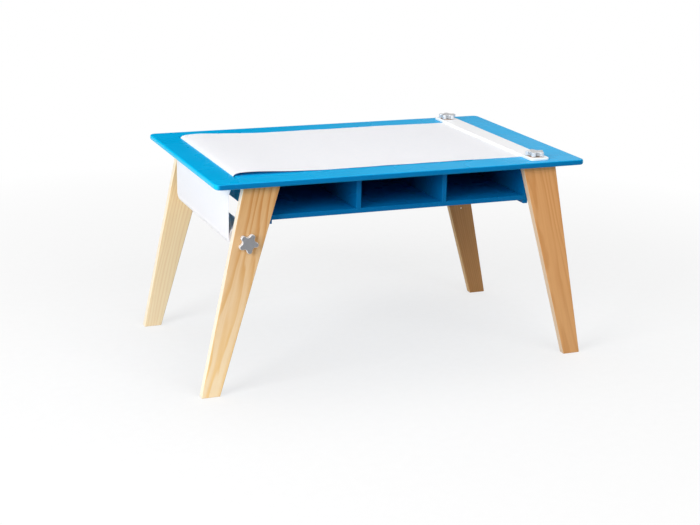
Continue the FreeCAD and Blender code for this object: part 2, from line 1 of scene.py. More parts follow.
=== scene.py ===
"""Finishes, paper, threads and studio for a children's craft table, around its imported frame."""

import logging
import math
from dataclasses import dataclass
from enum import Enum
from typing import NamedTuple

import bmesh
import bpy
from mathutils import Euler, Matrix, Vector

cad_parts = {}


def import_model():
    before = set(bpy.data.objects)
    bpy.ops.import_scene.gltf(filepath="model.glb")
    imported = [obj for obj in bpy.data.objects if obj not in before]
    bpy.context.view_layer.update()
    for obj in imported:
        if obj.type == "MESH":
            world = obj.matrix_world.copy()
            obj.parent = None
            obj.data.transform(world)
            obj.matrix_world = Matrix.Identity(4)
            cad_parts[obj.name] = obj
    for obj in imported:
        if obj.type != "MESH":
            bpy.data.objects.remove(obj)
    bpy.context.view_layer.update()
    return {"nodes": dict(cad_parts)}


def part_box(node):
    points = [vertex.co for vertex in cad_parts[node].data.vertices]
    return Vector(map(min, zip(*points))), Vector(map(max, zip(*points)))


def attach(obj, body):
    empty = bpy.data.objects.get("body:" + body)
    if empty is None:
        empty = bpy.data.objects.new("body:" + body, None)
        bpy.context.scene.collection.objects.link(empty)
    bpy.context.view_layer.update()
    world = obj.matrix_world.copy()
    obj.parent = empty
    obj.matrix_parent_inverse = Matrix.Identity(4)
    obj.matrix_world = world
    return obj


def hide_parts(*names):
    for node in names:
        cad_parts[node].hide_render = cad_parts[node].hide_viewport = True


LOG = logging.getLogger("craft_table")

Rgba = tuple[float, float, float, float]
Triple = tuple[float, float, float]
Stops = list[tuple[float, Rgba]]


def tone(red: int, green: int, blue: int) -> Rgba:
    """Turns a display colour into the linear colour of a shader.

    Args:
        red: Red, from 0 to 255.
        green: Green, from 0 to 255.
        blue: Blue, from 0 to 255.

    Returns:
        The linear colour with full opacity.
    """
    def linear(channel: int) -> float:
        """One channel, by the sRGB curve."""
        share = channel / 255
        return share / 12.92 if share <= 0.04045 else ((share + 0.055) / 1.055) ** 2.4

    return (linear(red), linear(green), linear(blue), 1.0)


class NodeGraph:
    """The node tree of one finish, which ends in a Principled shader."""

    def __init__(self, name: str) -> None:
        """Starts a material.

        Args:
            name: Name of the material.
        """
        self.material = bpy.data.materials.new(name)
        self.material.use_nodes = True
        self.nodes = self.material.node_tree.nodes
        self.links = self.material.node_tree.links
        self.shader = self.nodes["Principled BSDF"]

    def add(self, kind: str, **settings: object) -> bpy.types.Node:
        """Adds a shader node with some of its settings.

        Args:
            kind: The node's type, without its ShaderNode prefix.
            **settings: Properties to set on it.

        Returns:
            The new node.
        """
        node = self.nodes.new("ShaderNode" + kind)
        for key, value in settings.items():
            setattr(node, key, value)
        return node

    def feed(self, target: bpy.types.NodeSocket, source: object) -> None:
        """Links a socket to a socket, or sets it to a plain value.

        Args:
            target: The socket that is fed.
            source: Another socket, or the value.
        """
        if isinstance(source, bpy.types.NodeSocket):
            self.links.new(source, target)
        else:
            target.default_value = source

    def set(self, **sockets: object) -> None:
        """Feeds the shader's sockets, named with underscores for spaces."""
        for name, source in sockets.items():
            self.feed(self.shader.inputs[name.replace("_", " ")], source)

    def where(self) -> bpy.types.NodeSocket:
        """Places on the piece, in the table's frame."""
        return self.add("TexCoord").outputs["Object"]

    def placed(self, vector: object, shift: Triple = (0, 0, 0), turn: Triple = (0, 0, 0),
               scale: Triple = (1, 1, 1)) -> bpy.types.NodeSocket:
        """Moves texture space.

        Args:
            vector: The places to move.
            shift: Added last.
            turn: Euler angles, applied after the scale.
            scale: Applied first.

        Returns:
            The moved places.
        """
        node = self.add("Mapping")
        for name, value in (("Vector", vector), ("Location", shift), ("Rotation", turn), ("Scale", scale)):
            self.feed(node.inputs[name], value)
        return node.outputs[0]

    def noise(self, vector: object, scale: float, detail: float = 2.0,
              distortion: float = 0.0) -> bpy.types.NodeSocket:
        """Soft noise from 0 to 1.

        Args:
            vector: Where it is read.
            scale: Waves in a metre.
            detail: Octaves.
            distortion: How far it is bent by itself.

        Returns:
            The noise value.
        """
        node = self.add("TexNoise")
        settings = (("Vector", vector), ("Scale", scale), ("Detail", detail), ("Distortion", distortion))
        for name, value in settings:
            self.feed(node.inputs[name], value)
        return node.outputs[0]

    def math(self, operation: str, first: object, second: object = 0.0) -> bpy.types.NodeSocket:
        """One sum on two numbers.

        Args:
            operation: Blender's name of the sum.
            first: The first number.
            second: The second number, where the sum has one.

        Returns:
            The result.
        """
        node = self.add("Math", operation=operation)
        self.feed(node.inputs[0], first)
        self.feed(node.inputs[1], second)
        return node.outputs[0]

    def vector(self, operation: str, first: object, second: object = (0, 0, 0)) -> bpy.types.NodeSocket:
        """One sum on two vectors.

        Args:
            operation: Blender's name of the sum.
            first: The first vector.
            second: The second vector, where the sum has one.

        Returns:
            A vector, or a number for a length or a dot product.
        """
        node = self.add("VectorMath", operation=operation)
        self.feed(node.inputs[0], first)
        self.feed(node.inputs[1], second)
        return node.outputs["Value" if operation in ("LENGTH", "DOT_PRODUCT") else "Vector"]

    def part(self, vector: object, axis: int) -> bpy.types.NodeSocket:
        """One of a vector's three numbers.

        Args:
            vector: The vector.
            axis: 0 for X, 1 for Y and 2 for Z.

        Returns:
            The number.
        """
        node = self.add("SeparateXYZ")
        self.feed(node.inputs[0], vector)
        return node.outputs[axis]

    def span(self, value: object, low: float, high: float, to_low: float = 0.0,
             to_high: float = 1.0) -> bpy.types.NodeSocket:
        """Maps a range of a value to another range, held at its ends.

        Args:
            value: What is mapped.
            low: Start of its range.
            high: End of its range.
            to_low: Result at the start.
            to_high: Result at the end.

        Returns:
            The mapped value.
        """
        node = self.add("MapRange", clamp=True)
        for place, number in enumerate((value, low, high, to_low, to_high)):
            self.feed(node.inputs[place], number)
        return node.outputs[0]

    def sheen(self, noise: object, rough: tuple[float, float]) -> bpy.types.NodeSocket:
        """Roughness that follows a noise, from its least to its most."""
        return self.span(noise, 0.3, 0.7, *rough)

    def ramp(self, value: object, stops: Stops) -> bpy.types.NodeSocket:
        """Turns a number into a colour.

        Args:
            value: The number.
            stops: Places from 0 to 1 with their colours, in order.

        Returns:
            The colour.
        """
        node = self.add("ValToRGB")
        band = node.color_ramp
        while len(band.elements) < len(stops):
            band.elements.new(1.0)
        for element, (place, colour) in zip(band.elements, stops):
            element.position, element.color = place, colour
        self.feed(node.inputs[0], value)
        return node.outputs[0]

    def mix(self, share: object, first: object, second: object) -> bpy.types.NodeSocket:
        """Blends two colours.

        Args:
            share: How much of the second.
            first: The colour below.
            second: The colour above.

        Returns:
            The blended colour.
        """
        node = self.add("Mix", data_type="RGBA")
        for place, source in ((0, share), (6, first), (7, second)):
            self.feed(node.inputs[place], source)
        return node.outputs[2]

    def bump(self, height: object, strength: float, depth: float,
             under: object = None) -> bpy.types.NodeSocket:
        """Turns heights into a surface normal.

        Args:
            height: Heights from 0 to 1.
            strength: Share of the effect.
            depth: Full depth in metres.
            under: A normal to add to.

        Returns:
            The bent normal.
        """
        node = self.add("Bump")
        node.inputs["Strength"].default_value = strength
        node.inputs["Distance"].default_value = depth
        self.feed(node.inputs["Height"], height)
        if under is not None:
            self.feed(node.inputs["Normal"], under)
        return node.outputs[0]

    def edges(self, radius: float) -> bpy.types.NodeSocket:
        """How near a point is to a convex or inner edge, from 0 to 1.

        Args:
            radius: Reach of an edge in metres.

        Returns:
            The edge value.
        """
        slight_bend, full_bend = 0.01, 0.12
        bevel = self.add("Bevel", samples=4)
        bevel.inputs["Radius"].default_value = radius
        alike = self.vector("DOT_PRODUCT", bevel.outputs[0], self.add("NewGeometry").outputs["Normal"])
        return self.span(alike, 1 - slight_bend, 1 - full_bend)

    def facing(self, axis: int, low: float = 0.3, high: float = 0.85) -> bpy.types.NodeSocket:
        """How squarely a face looks along an axis of the table, either way.

        Args:
            axis: 0 for X, 1 for Y and 2 for Z.
            low: Share of the normal at which it starts.
            high: Share of the normal at which it is full.

        Returns:
            A value from 0 to 1.
        """
        share = self.part(self.add("TexCoord").outputs["Normal"], axis)
        return self.span(self.math("ABSOLUTE", share), low, high)

    def hollows(self, reach: float) -> bpy.types.NodeSocket:
        """1 in the open and less in hollows of the piece itself.

        Args:
            reach: How far the walls of a hollow count, in metres.

        Returns:
            A value from 0 to 1.
        """
        node = self.add("AmbientOcclusion", samples=6, only_local=True)
        node.inputs["Distance"].default_value = reach
        return node.outputs["AO"]


@dataclass(frozen=True)
class PaintFinish:
    """Sprayed satin paint over a sanded board.

    Attributes:
        name: Name of the material.
        face: Colour of the broad level faces.
        cloud: Colour that the face drifts to.
        side: Colour of the long upright faces and of the inner cross faces, darker as painted shade.
        end: Colour of the outer faces at the table's ends, lighter as painted light from the side.
        worn: Colour on rubbed edges.
        rough: Least and most roughness.
        gloss: Specular level of the paint.
        peel: Depth of the spray texture in metres.
        end_from: Distance from the table's middle beyond which a face is at an end.
        end_over: Length over which the end's colour comes in.
        rub_reach: How far in from an edge the paint is rubbed.
        rub_share: Share of the worn colour there.
        fleck_share: Share of the worn colour in the flecks.
    """

    name: str
    face: Rgba
    cloud: Rgba
    side: Rgba
    end: Rgba
    worn: Rgba
    rough: tuple[float, float] = (0.24, 0.32)
    gloss: float = 0.05
    peel: float = 0.00003
    end_from: float = 0.334
    end_over: float = 0.003
    rub_reach: float = 0.0022
    rub_share: float = 0.5
    fleck_share: float = 0.04

    def make(self) -> bpy.types.Material:
        """Builds the paint, with drifting colour, painted shade on upright faces, painted light at the
        ends, rubbed edges and a spray texture.

        Returns:
            The finished material.
        """
        graph = NodeGraph(self.name)
        where = graph.where()
        drift = graph.noise(where, scale=6.0, detail=1.0)
        colour = graph.ramp(drift, [(0.35, self.cloud), (0.65, self.face)])
        # Painted shade: faces along Y take the darker side colour.
        colour = graph.mix(graph.facing(1), colour, self.side)
        # Painted light: cross faces at the table's ends take the lighter end colour; other cross faces
        # take the side colour as painted shade.
        from_middle = graph.math("ABSOLUTE", graph.part(where, 0))
        outer = graph.span(from_middle, self.end_from, self.end_from + self.end_over)
        colour = graph.mix(graph.facing(0), colour, graph.mix(outer, self.side, self.end))
        patchy = graph.span(graph.noise(where, scale=60.0, detail=4.0), 0.42, 0.7)
        rub = graph.math("MULTIPLY", graph.edges(self.rub_reach), patchy)
        colour = graph.mix(graph.math("MULTIPLY", rub, self.rub_share), colour, self.worn)
        fleck = graph.noise(where, scale=900.0, detail=1.0)
        colour = graph.mix(graph.span(fleck, 0.66, 0.8, 0.0, self.fleck_share), colour, self.worn)
        smear = graph.noise(where, scale=9.0, detail=1.0)
        graph.set(Base_Color=colour, Roughness=graph.sheen(smear, self.rough))
        spray = graph.noise(where, scale=1100.0, detail=2.0)
        graph.set(Specular_IOR_Level=self.gloss)
        graph.set(Normal=graph.bump(spray, strength=0.08, depth=self.peel))
        return graph.material


class Pith(NamedTuple):
    """Where a board's pith runs, and the rings about it.

    Attributes:
        beside: Its distance beside the middle of the face.
        behind: Its distance behind the face.
        tilt_side: Its tilt sideways, in radians.
        tilt_back: Its tilt backwards.
        ring_width: Width of a year's ring.
    """

    beside: float
    behind: float
    tilt_side: float
    tilt_back: float
    ring_width: float


class GrainCut(Enum):
    """How a board was sawn from its log."""

    CATHEDRAL = Pith(-0.060, 0.110, 0.016, -0.012, 0.0085)
    FLAT = Pith(-0.040, 0.130, 0.008, 0.016, 0.0060)
    RIFT = Pith(0.150, 0.110, 0.006, -0.006, 0.0056)
    QUARTER = Pith(0.330, 0.020, -0.004, 0.003, 0.0085)


@dataclass(frozen=True)
class Board:
    """Where a board lies.

    Attributes:
        origin: A point on its face.
        lean: Turn of its length from upright.
        cut: How it was sawn.
        seed: Its place in the noise.
        knot: Middle of its pin knot, if it has one.
    """

    origin: Triple
    lean: Triple
    cut: GrainCut
    seed: float
    knot: Triple | None = None

    def frames(self) -> tuple[tuple[Triple, Triple], tuple[Triple, Triple]]:
        """Works out texture space along the board and round its pith.

        Returns:
            Shift and turn along the fibres, then shift and turn about the pith.
        """
        pith = self.cut.value
        along = Euler(self.lean).to_matrix()
        fibre_shift = -(along @ Vector(self.origin))
        tilt = Euler((pith.tilt_back, pith.tilt_side, 0.0)).to_matrix()
        about = tilt @ along
        pith_shift = tilt @ fibre_shift - Vector((pith.beside, pith.behind, 0.0))
        return (
            (tuple(fibre_shift), tuple(along.to_euler())),
            (tuple(pith_shift), tuple(about.to_euler())),
        )


@dataclass(frozen=True)
class PineFinish:
    """Pine with growth rings, fibres, resin flecks and a clear coat, with painted light on its edges and
    toward its foot.

    Attributes:
        early: Colour of the soft wide bands.
        middle: Colour between the bands.
        late: Colour of the hard narrow bands.
        foot: Colour that the board pales to at its lower end, as painted light, and that rubbed edges wear
            to.
        edge: Colour of the faces across the table, lighter as painted light.
        paling: Share of the foot's colour at the floor.
        contrast: Share of the ring colours over the plain middle colour.
        lacquer: Share of clear coat.
        rough: Least and most roughness.
        late_foot: Colour that the hard bands pale to as painted light, where it isn't on the way to the
            foot's.
        late_paling: How far they go towards the foot's colour, where it is.
        pale_from: Height at which the paling starts.
        pale_full: Height at which it is full.
        stray: How far the rings stray from round.
        sway: How far they waver, in ring widths.
        edge_share: Share of the edge's painted light on the edges.
        rub_reach: How far in from an edge the wood is rubbed.
        coat_rough: Roughness of the clear coat.
        gloss: Specular level of the wood.
        pin: Colour of a pin knot's heart.
        pin_ring: Radii between which the knot's dark ring comes in.
        pin_heart: Radii between which its heart comes in.
    """

    early: Rgba
    middle: Rgba
    late: Rgba
    foot: Rgba
    edge: Rgba
    paling: float
    contrast: float
    lacquer: float = 0.08
    rough: tuple[float, float] = (0.38, 0.52)
    late_foot: Rgba | None = None
    late_paling: float = 0.62
    pale_from: float = 0.47
    pale_full: float = 0.04
    stray: float = 0.011
    sway: float = 0.16
    edge_share: float = 0.75
    rub_reach: float = 0.003
    coat_rough: float = 0.3
    gloss: float = 0.25
    pin: Rgba = tone(244, 224, 190)
    pin_ring: tuple[float, float] = (0.0060, 0.0030)
    pin_heart: tuple[float, float] = (0.0034, 0.0018)

    def make(self, name: str, board: Board) -> bpy.types.Material:
        """Builds the wood of one board.

        Args:
            name: Name of the material.
            board: Where the board lies and how it was sawn.

        Returns:
            The finished material.
        """
        graph = NodeGraph(name)
        where = graph.where()
        (shift, turn), (pith_shift, pith_turn) = board.frames()
        fibre_space = graph.placed(where, shift, turn)
        seeded = graph.vector("ADD", fibre_space, (board.seed, board.seed * 0.7, board.seed * 1.3))

        def grain(shrink: float, scale: float, detail: float) -> bpy.types.NodeSocket:
            """Noise drawn out along the fibres."""
            return graph.noise(graph.placed(seeded, scale=(1.0, 1.0, shrink)), scale, detail)

        drift = grain(shrink=0.16, scale=13.0, detail=2.0)
        wander = grain(shrink=0.2, scale=48.0, detail=2.0)
        streak = grain(shrink=0.02, scale=190.0, detail=3.0)
        fleck = grain(shrink=0.035, scale=1100.0, detail=1.0)
        pith_space = graph.placed(where, pith_shift, pith_turn)
        reach = graph.vector("LENGTH", graph.vector("MULTIPLY", pith_space, (1, 1, 0)))
        ring_width = board.cut.value.ring_width
        for waver, most in ((drift, self.stray), (wander, self.sway * ring_width)):
            reach = graph.math("ADD", reach, graph.span(waver, 0.2, 0.8, -most, most))
        ring = graph.math("FRACT", graph.math("DIVIDE", reach, ring_width))
        # Painted light and shade: the board pales from the top down to the floor, for bounce from the
        # floor and shade under the top.
        paling = graph.span(graph.part(where, 2), self.pale_from, self.pale_full, 0.0, self.paling)
        plain = graph.mix(paling, self.middle, self.foot)
        pale = graph.mix(paling, self.early, self.foot)
        part_way = tuple(a + self.late_paling * (b - a) for a, b in zip(self.late, self.foot))
        dark = graph.mix(paling, self.late, self.late_foot or part_way)
        hard = graph.math("MAXIMUM", graph.span(ring, 0.5, 0.92), graph.span(ring, 0.1, 0.0))
        colour = graph.mix(graph.math("MULTIPLY", hard, self.contrast), plain, dark)
        colour = graph.mix(graph.span(streak, 0.48, 0.78, 0.0, 0.3), colour, dark)
        colour = graph.mix(graph.span(streak, 0.24, 0.48, 0.35, 0.0), colour, pale)
        colour = graph.mix(graph.span(fleck, 0.66, 0.78, 0.0, 0.22), colour, dark)
        # Painted light: faces across the table take the lighter edge colour.
        painted_light_edges = graph.span(graph.facing(0, 0.6, 0.9), 0.0, 1.0, 0.0, self.edge_share)
        colour = graph.mix(painted_light_edges, colour, self.edge)
        if board.knot is not None:
            apart = graph.vector("LENGTH", graph.vector("SUBTRACT", where, board.knot))
            colour = graph.mix(graph.span(apart, *self.pin_ring), colour, self.late)
            colour = graph.mix(graph.span(apart, *self.pin_heart), colour, self.pin)
        patchy = graph.span(wander, 0.35, 0.65, 0.1, 0.5)
        rub = graph.math("MULTIPLY", graph.edges(self.rub_reach), patchy)
        colour = graph.mix(rub, colour, self.foot)
        graph.set(Base_Color=colour, Roughness=graph.sheen(streak, self.rough))
        graph.set(Coat_Weight=self.lacquer, Coat_Roughness=self.coat_rough, Specular_IOR_Level=self.gloss)
        fibres = graph.math("ADD", streak, graph.math("MULTIPLY", fleck, 0.4))
        pores = graph.bump(fibres, strength=0.25, depth=0.0002)
        graph.set(Normal=graph.bump(ring, strength=0.08, depth=0.0002, under=pores))
        return graph.material


@dataclass(frozen=True)
class PaperFinish:
    """Matt white drawing paper with faint fibres.

    Attributes:
        name: Name of the material.
        sheet: Colour of the sheet.
        fibre: Colour of its denser fibres.
        rough: Least and most roughness.
        glow: Share of the light that passes into the sheet.
        glow_depth: How deep it passes, in metres.
        gloss: Specular level of the sheet.
    """

    name: str
    sheet: Rgba
    fibre: Rgba
    rough: tuple[float, float] = (0.72, 0.86)
    glow: float = 0.35
    glow_depth: float = 0.001
    gloss: float = 0.25

    def make(self) -> bpy.types.Material:
        """Builds the paper, with a cloudy formation, fine tooth and soft cockles.

        Returns:
            The finished material.
        """
        graph = NodeGraph(self.name)
        where = graph.where()
        cloud = graph.noise(where, scale=120.0, detail=5.0)
        drawn_out = graph.placed(where, scale=(0.3, 1.0, 1.0))
        strand = graph.noise(drawn_out, scale=1400.0, detail=2.0, distortion=0.8)
        colour = graph.ramp(cloud, [(0.3, self.fibre), (0.6, self.sheet)])
        colour = graph.mix(graph.span(strand, 0.66, 0.8, 0.0, 0.2), colour, self.fibre)
        graph.set(Base_Color=colour, Roughness=graph.sheen(cloud, self.rough))
        graph.set(Specular_IOR_Level=self.gloss, Subsurface_Weight=self.glow)
        graph.set(Subsurface_Scale=self.glow_depth, Subsurface_Radius=(1.0, 1.0, 1.0))
        tooth = graph.bump(strand, strength=0.18, depth=0.00008)
        cockle = graph.noise(graph.placed(where, scale=(0.5, 1.0, 1.0)), scale=14.0, detail=2.0)
        graph.set(Normal=graph.bump(cockle, strength=0.12, depth=0.0016, under=tooth))
        return graph.material


@dataclass(frozen=True)
class CardFinish:
    """Brown card, wound in a slanting strip.

    Attributes:
        name: Name of the material.
        card: Colour of the card.
        seam: Colour of its fibres and of the strip's joint.
        rough: Least and most roughness.
        strips: Scale of the waves whose troughs are the strip's joints.
    """

    name: str
    card: Rgba
    seam: Rgba
    rough: tuple[float, float] = (0.75, 0.92)
    strips: float = 6.0

    def make(self) -> bpy.types.Material:
        """Builds the card, with its fibres and the slanting joint of its strip.

        Returns:
            The finished material.
        """
        graph = NodeGraph(self.name)
        where = graph.where()
        slanting = graph.placed(where, turn=(0.5, 0.0, 0.0), scale=(1.0, 0.15, 1.0))
        fibre = graph.noise(slanting, scale=600.0, detail=4.0)
        wave = graph.add("TexWave", wave_type="BANDS", bands_direction="Y")
        graph.feed(wave.inputs["Vector"], graph.placed(where, turn=(0.6, 0.0, 0.4)))
        wave.inputs["Scale"].default_value = self.strips
        colour = graph.ramp(fibre, [(0.3, self.seam), (0.62, self.card)])
        colour = graph.mix(graph.span(wave.outputs["Fac"], 0.02, 0.0, 0.0, 0.8), colour, self.seam)
        graph.set(Base_Color=colour, Roughness=graph.sheen(fibre, self.rough))
        graph.set(Normal=graph.bump(fibre, strength=0.3, depth=0.0002))
        return graph.material


@dataclass(frozen=True)
class MouldedFinish:
    """Silver moulded plastic with a fine flake, with a painted highlight on its sides, painted shade on
    its face and painted light and shade in its hollows.

    Attributes:
        name: Name of the material.
        rim: Colour of the sides, lighter as a painted highlight.
        face: Colour of the face, darker as painted shade.
        flake: Colour of the flakes.
        hollow: Colour painted deep between the arms: painted shade where dark, painted light where pale.
        axis: Axis of the table that the face looks along.
        rough: Least and most roughness.
        metal: Share of metal in the plastic.
        hollow_reach: How near the walls of a hollow are.
    """

    name: str
    rim: Rgba
    face: Rgba
    flake: Rgba
    hollow: Rgba
    axis: int
    rough: tuple[float, float] = (0.26, 0.36)
    metal: float = 0.25
    hollow_reach: float = 0.012

    def make(self) -> bpy.types.Material:
        """Builds the plastic, with flakes, a moulded grain, a painted highlight on its sides, painted
        shade on its face and painted light and shade in its hollows.

        Returns:
            The finished material.
        """
        graph = NodeGraph(self.name)
        where = graph.where()
        flake = graph.noise(where, scale=2600.0, detail=1.0)
        cloud = graph.noise(where, scale=90.0, detail=3.0)
        # Painted highlight on the sides and painted shade on the face.
        colour = graph.mix(graph.facing(self.axis, 0.75, 0.95), self.rim, self.face)
        colour = graph.mix(graph.span(cloud, 0.3, 0.75, 0.0, 0.18), colour, self.flake)
        colour = graph.mix(graph.span(flake, 0.6, 0.72, 0.0, 0.25), colour, self.flake)
        # Painted light and shade in the hollows between the arms.
        deep = graph.span(graph.hollows(self.hollow_reach), 0.96, 0.78)
        colour = graph.mix(deep, colour, self.hollow)
        graph.set(Base_Color=colour, Roughness=graph.sheen(cloud, self.rough), Metallic=self.metal)
        moulded = graph.noise(where, scale=1500.0, detail=2.0)
        graph.set(Normal=graph.bump(moulded, strength=0.2, depth=0.00006))
        return graph.material


@dataclass(frozen=True)
class PlatedFinish:
    """Plated metal with turning marks and a faint bloom.

    Attributes:
        name: Name of the material.
        bright: Colour of the clean metal.
        bloom: Colour of the bloom.
        rough: Least and most roughness.
    """

    name: str
    bright: Rgba
    bloom: Rgba
    rough: tuple[float, float] = (0.26, 0.42)

    def make(self) -> bpy.types.Material:
        """Builds the plating.

        Returns:
            The finished material.
        """
        graph = NodeGraph(self.name)
        where = graph.where()
        bloom = graph.noise(where, scale=160.0, detail=4.0, distortion=0.5)
        turned = graph.noise(graph.placed(where, scale=(1.0, 1.0, 14.0)), scale=700.0, detail=2.0)
        colour = graph.ramp(bloom, [(0.35, self.bloom), (0.65, self.bright)])
        graph.set(Base_Color=colour, Metallic=1.0, Roughness=graph.sheen(bloom, self.rough))
        graph.set(Normal=graph.bump(turned, strength=0.2, depth=0.00006))
        return graph.material


class Mesh:
    """Gathers points and faces of one piece, and turns them into an object on a body."""

    def __init__(self) -> None:
        """Starts with nothing."""
        self.points: list[Vector] = []
        self.faces: list[tuple[int, ...]] = []

    def grid(self, rows: list[list[Vector]], around: bool = False, flip: bool = False) -> list[list[int]]:
        """Adds a grid of quads.

        Args:
            rows: Points, row by row, all rows as long.
            around: Whether each row closes on itself.
            flip: Whether the faces look the other way.

        Returns:
            The numbers of the points, row by row.
        """
        start = len(self.points)
        width = len(rows[0])
        numbers = [[start + i * width + k for k in range(width)] for i in range(len(rows))]
        for row in rows:
            self.points.extend(row)
        for upper, lower in zip(numbers, numbers[1:]):
            self.bridge(upper, lower, around, flip)
        return numbers

    def cap(self, ring: list[int], flip: bool = False) -> None:
        """Closes a ring of points with one face."""
        self.faces.append(tuple(ring[::-1] if flip else ring))

    def bridge(self, first: list[int], second: list[int], around: bool = True, flip: bool = False) -> None:
        """Joins two rows of as many points by a band of quads.

        Args:
            first: Numbers of the points in one row.
            second: Numbers of the points in the other.
            around: Whether the rows close on themselves.
            flip: Whether the faces look the other way.
        """
        last = len(first) if around else len(first) - 1
        for k in range(last):
            after = (k + 1) % len(first)
            face = (first[k], first[after], second[after], second[k])
            self.faces.append(face[::-1] if flip else face)

    def add(self, other: "Mesh", place: Matrix) -> None:
        """Adds another mesh, moved to a place.

        Args:
            other: The mesh to add.
            place: Where its origin comes to lie.
        """
        start = len(self.points)
        self.points.extend(place @ point for point in other.points)
        self.faces.extend(tuple(start + k for k in face) for face in other.faces)

    def laid_out(self, name: str, material: bpy.types.Material) -> bpy.types.Object:
        """Makes the object as it stands and puts it in the scene.

        Args:
            name: Its name.
            material: Its finish.

        Returns:
            The new object.
        """
        data = bpy.data.meshes.new(name)
        data.from_pydata([tuple(point) for point in self.points], [], self.faces)
        data.materials.append(material)
        made = bpy.data.objects.new(name, data)
        bpy.context.scene.collection.objects.link(made)
        return made

    def piece(self, name: str, body: str, slot: str, stands_for: str,
              material: bpy.types.Material, sharp: float = 40.0) -> bpy.types.Object:
        """Makes the object, with its normals put right, on its body.

        Args:
            name: Name of the piece.
            body: The body that it moves with.
            slot: The record's material slot; not used.
            stands_for: The node that it replaces.
            material: Its finish.
            sharp: Angle in degrees above which an edge stays sharp.

        Returns:
            The new object.
        """
        shown = self.laid_out(name, material)
        form = bmesh.new()
        form.from_mesh(shown.data)
        bmesh.ops.recalc_face_normals(form, faces=form.faces[:])
        for face in form.faces:
            face.smooth = True
        for edge in form.edges:
            edge.smooth = edge.calc_face_angle(0.0) < math.radians(sharp)
        form.to_mesh(shown.data)
        form.free()
        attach(shown, body)
        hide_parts(stands_for)
        LOG.info("%s: %d faces on %s", name, len(shown.data.polygons), body)
        return shown


def ring_points(radius: float, height: float, count: int,
                squeeze: list[float] | None = None) -> list[Vector]:
    """A ring about Z.

    Args:
        radius: Its radius.
        height: Its height.
        count: How many points.
        squeeze: Taken off the radius, point by point.

    Returns:
        The points, in turn.
    """
    made = []
    for k in range(count):
        angle = 2 * math.pi * k / count
        reach = radius - (squeeze[k] if squeeze else 0.0)
        made.append(Vector((reach * math.cos(angle), reach * math.sin(angle), height)))
    return made


def laid_along(axis: Vector) -> Matrix:
    """The turn that lays Z along an axis."""
    return axis.to_track_quat("Z", "Y").to_matrix().to_4x4()


@dataclass(frozen=True)
class Thread:
    """A screw thread about Z, cut into a rod.

    Attributes:
        radius: Radius over the crests.
        depth: Depth of the groove.
        pitch: Rise of one turn.
        around: Points in a ring.
        steps: Rings in a turn.
    """

    radius: float
    depth: float
    pitch: float
    around: int = 24
    steps: int = 4

    def rows(self, low: float, high: float, ease: float) -> list[list[Vector]]:
        """Rings whose radius winds with the thread.

        Args:
            low: Where the rod starts.
            high: Where it ends.
            ease: Length over which each end narrows.

        Returns:
            The rings, from low to high.
        """
        count = max(2, round((high - low) / self.pitch * self.steps))
        made = []
        for i in range(count + 1):
            height = low + (high - low) * i / count
            end = min(height - low, high - height)
            chamfer = self.depth * max(0.0, 1 - end / ease)
            squeeze = []
            for k in range(self.around):
                phase = (height / self.pitch - k / self.around) % 1.0
                squeeze.append(max(chamfer, self.depth * abs(2 * phase - 1)))
            made.append(ring_points(self.radius, height, self.around, squeeze))
        return made


@dataclass
class CrossScrew:
    """A countersunk wood screw with a cross recess, its head at the origin and its point along Z.

    Attributes:
        length: From the head to the point.
        head_radius: Radius of the flat head.
        shank_radius: Radius over the thread.
        recess: Half length of the cross.
        arm: Half width of the cross.
        sink: Depth of the cross.
        narrowing: Share of the cross that is left at its floor.
        groove: Depth of the thread.
        pitch: Rise of the thread in one turn.
        ease: Length over which the thread starts and ends.
        around: Points in a ring.
    """

    length: float
    head_radius: float = 0.004
    shank_radius: float = 0.002
    recess: float = 0.0022
    arm: float = 0.00055
    sink: float = 0.0014
    narrowing: float = 0.7
    groove: float = 0.0006
    pitch: float = 0.0018
    ease: float = 0.001
    around: int = 24

    def cross(self, shrink: float, height: float) -> list[Vector]:
        """Outline of the cross.

        Args:
            shrink: Share of its full size.
            height: Its height.

        Returns:
            Its twelve corners, in turn.
        """
        long, short = self.recess * shrink, self.arm * shrink
        corner = [(long, -short), (long, short), (short, short)]
        made = []
        for turn in range(4):
            spin = Matrix.Rotation(turn * math.pi / 2, 3, "Z")
            made.extend(spin @ Vector((x, y, height)) for x, y in corner)
        return made

    def build(self) -> Mesh:
        """Makes the head with its recess, the cone, the thread and the point.

        Returns:
            The screw's mesh.
        """
        mesh = Mesh()
        rim = ring_points(self.head_radius, 0.0, self.around)
        mouth = self.cross(1.0, 0.0)
        form = bmesh.new()
        loops = []
        for outline in (rim, mouth):
            ring = [form.verts.new(point) for point in outline]
            loops.extend(form.edges.new((a, b)) for a, b in zip(ring, ring[1:] + ring[:1]))
        bmesh.ops.triangle_fill(form, use_beauty=True, edges=loops)
        form.verts.index_update()
        mesh.points = [vertex.co.copy() for vertex in form.verts]
        mesh.faces = [tuple(vertex.index for vertex in face.verts) for face in form.faces]
        form.free()
        rim_numbers = list(range(len(rim)))
        mouth_numbers = [len(rim) + k for k in range(len(mouth))]
        floor = [len(mesh.points) + k for k in range(len(mouth))]
        mesh.points.extend(self.cross(self.narrowing, self.sink))
        mesh.bridge(mouth_numbers, floor)
        mesh.cap(floor)
        cone = self.head_radius - self.shank_radius
        thread = Thread(self.shank_radius, self.groove, self.pitch, self.around)
        numbers = mesh.grid(thread.rows(cone, self.length - self.shank_radius, self.ease), around=True)
        mesh.bridge(rim_numbers, numbers[0])
        tip, last = len(mesh.points), numbers[-1]
        mesh.points.append(Vector((0.0, 0.0, self.length)))
        mesh.faces.extend((a, b, tip) for a, b in zip(last, last[1:] + last[:1]))
        return mesh


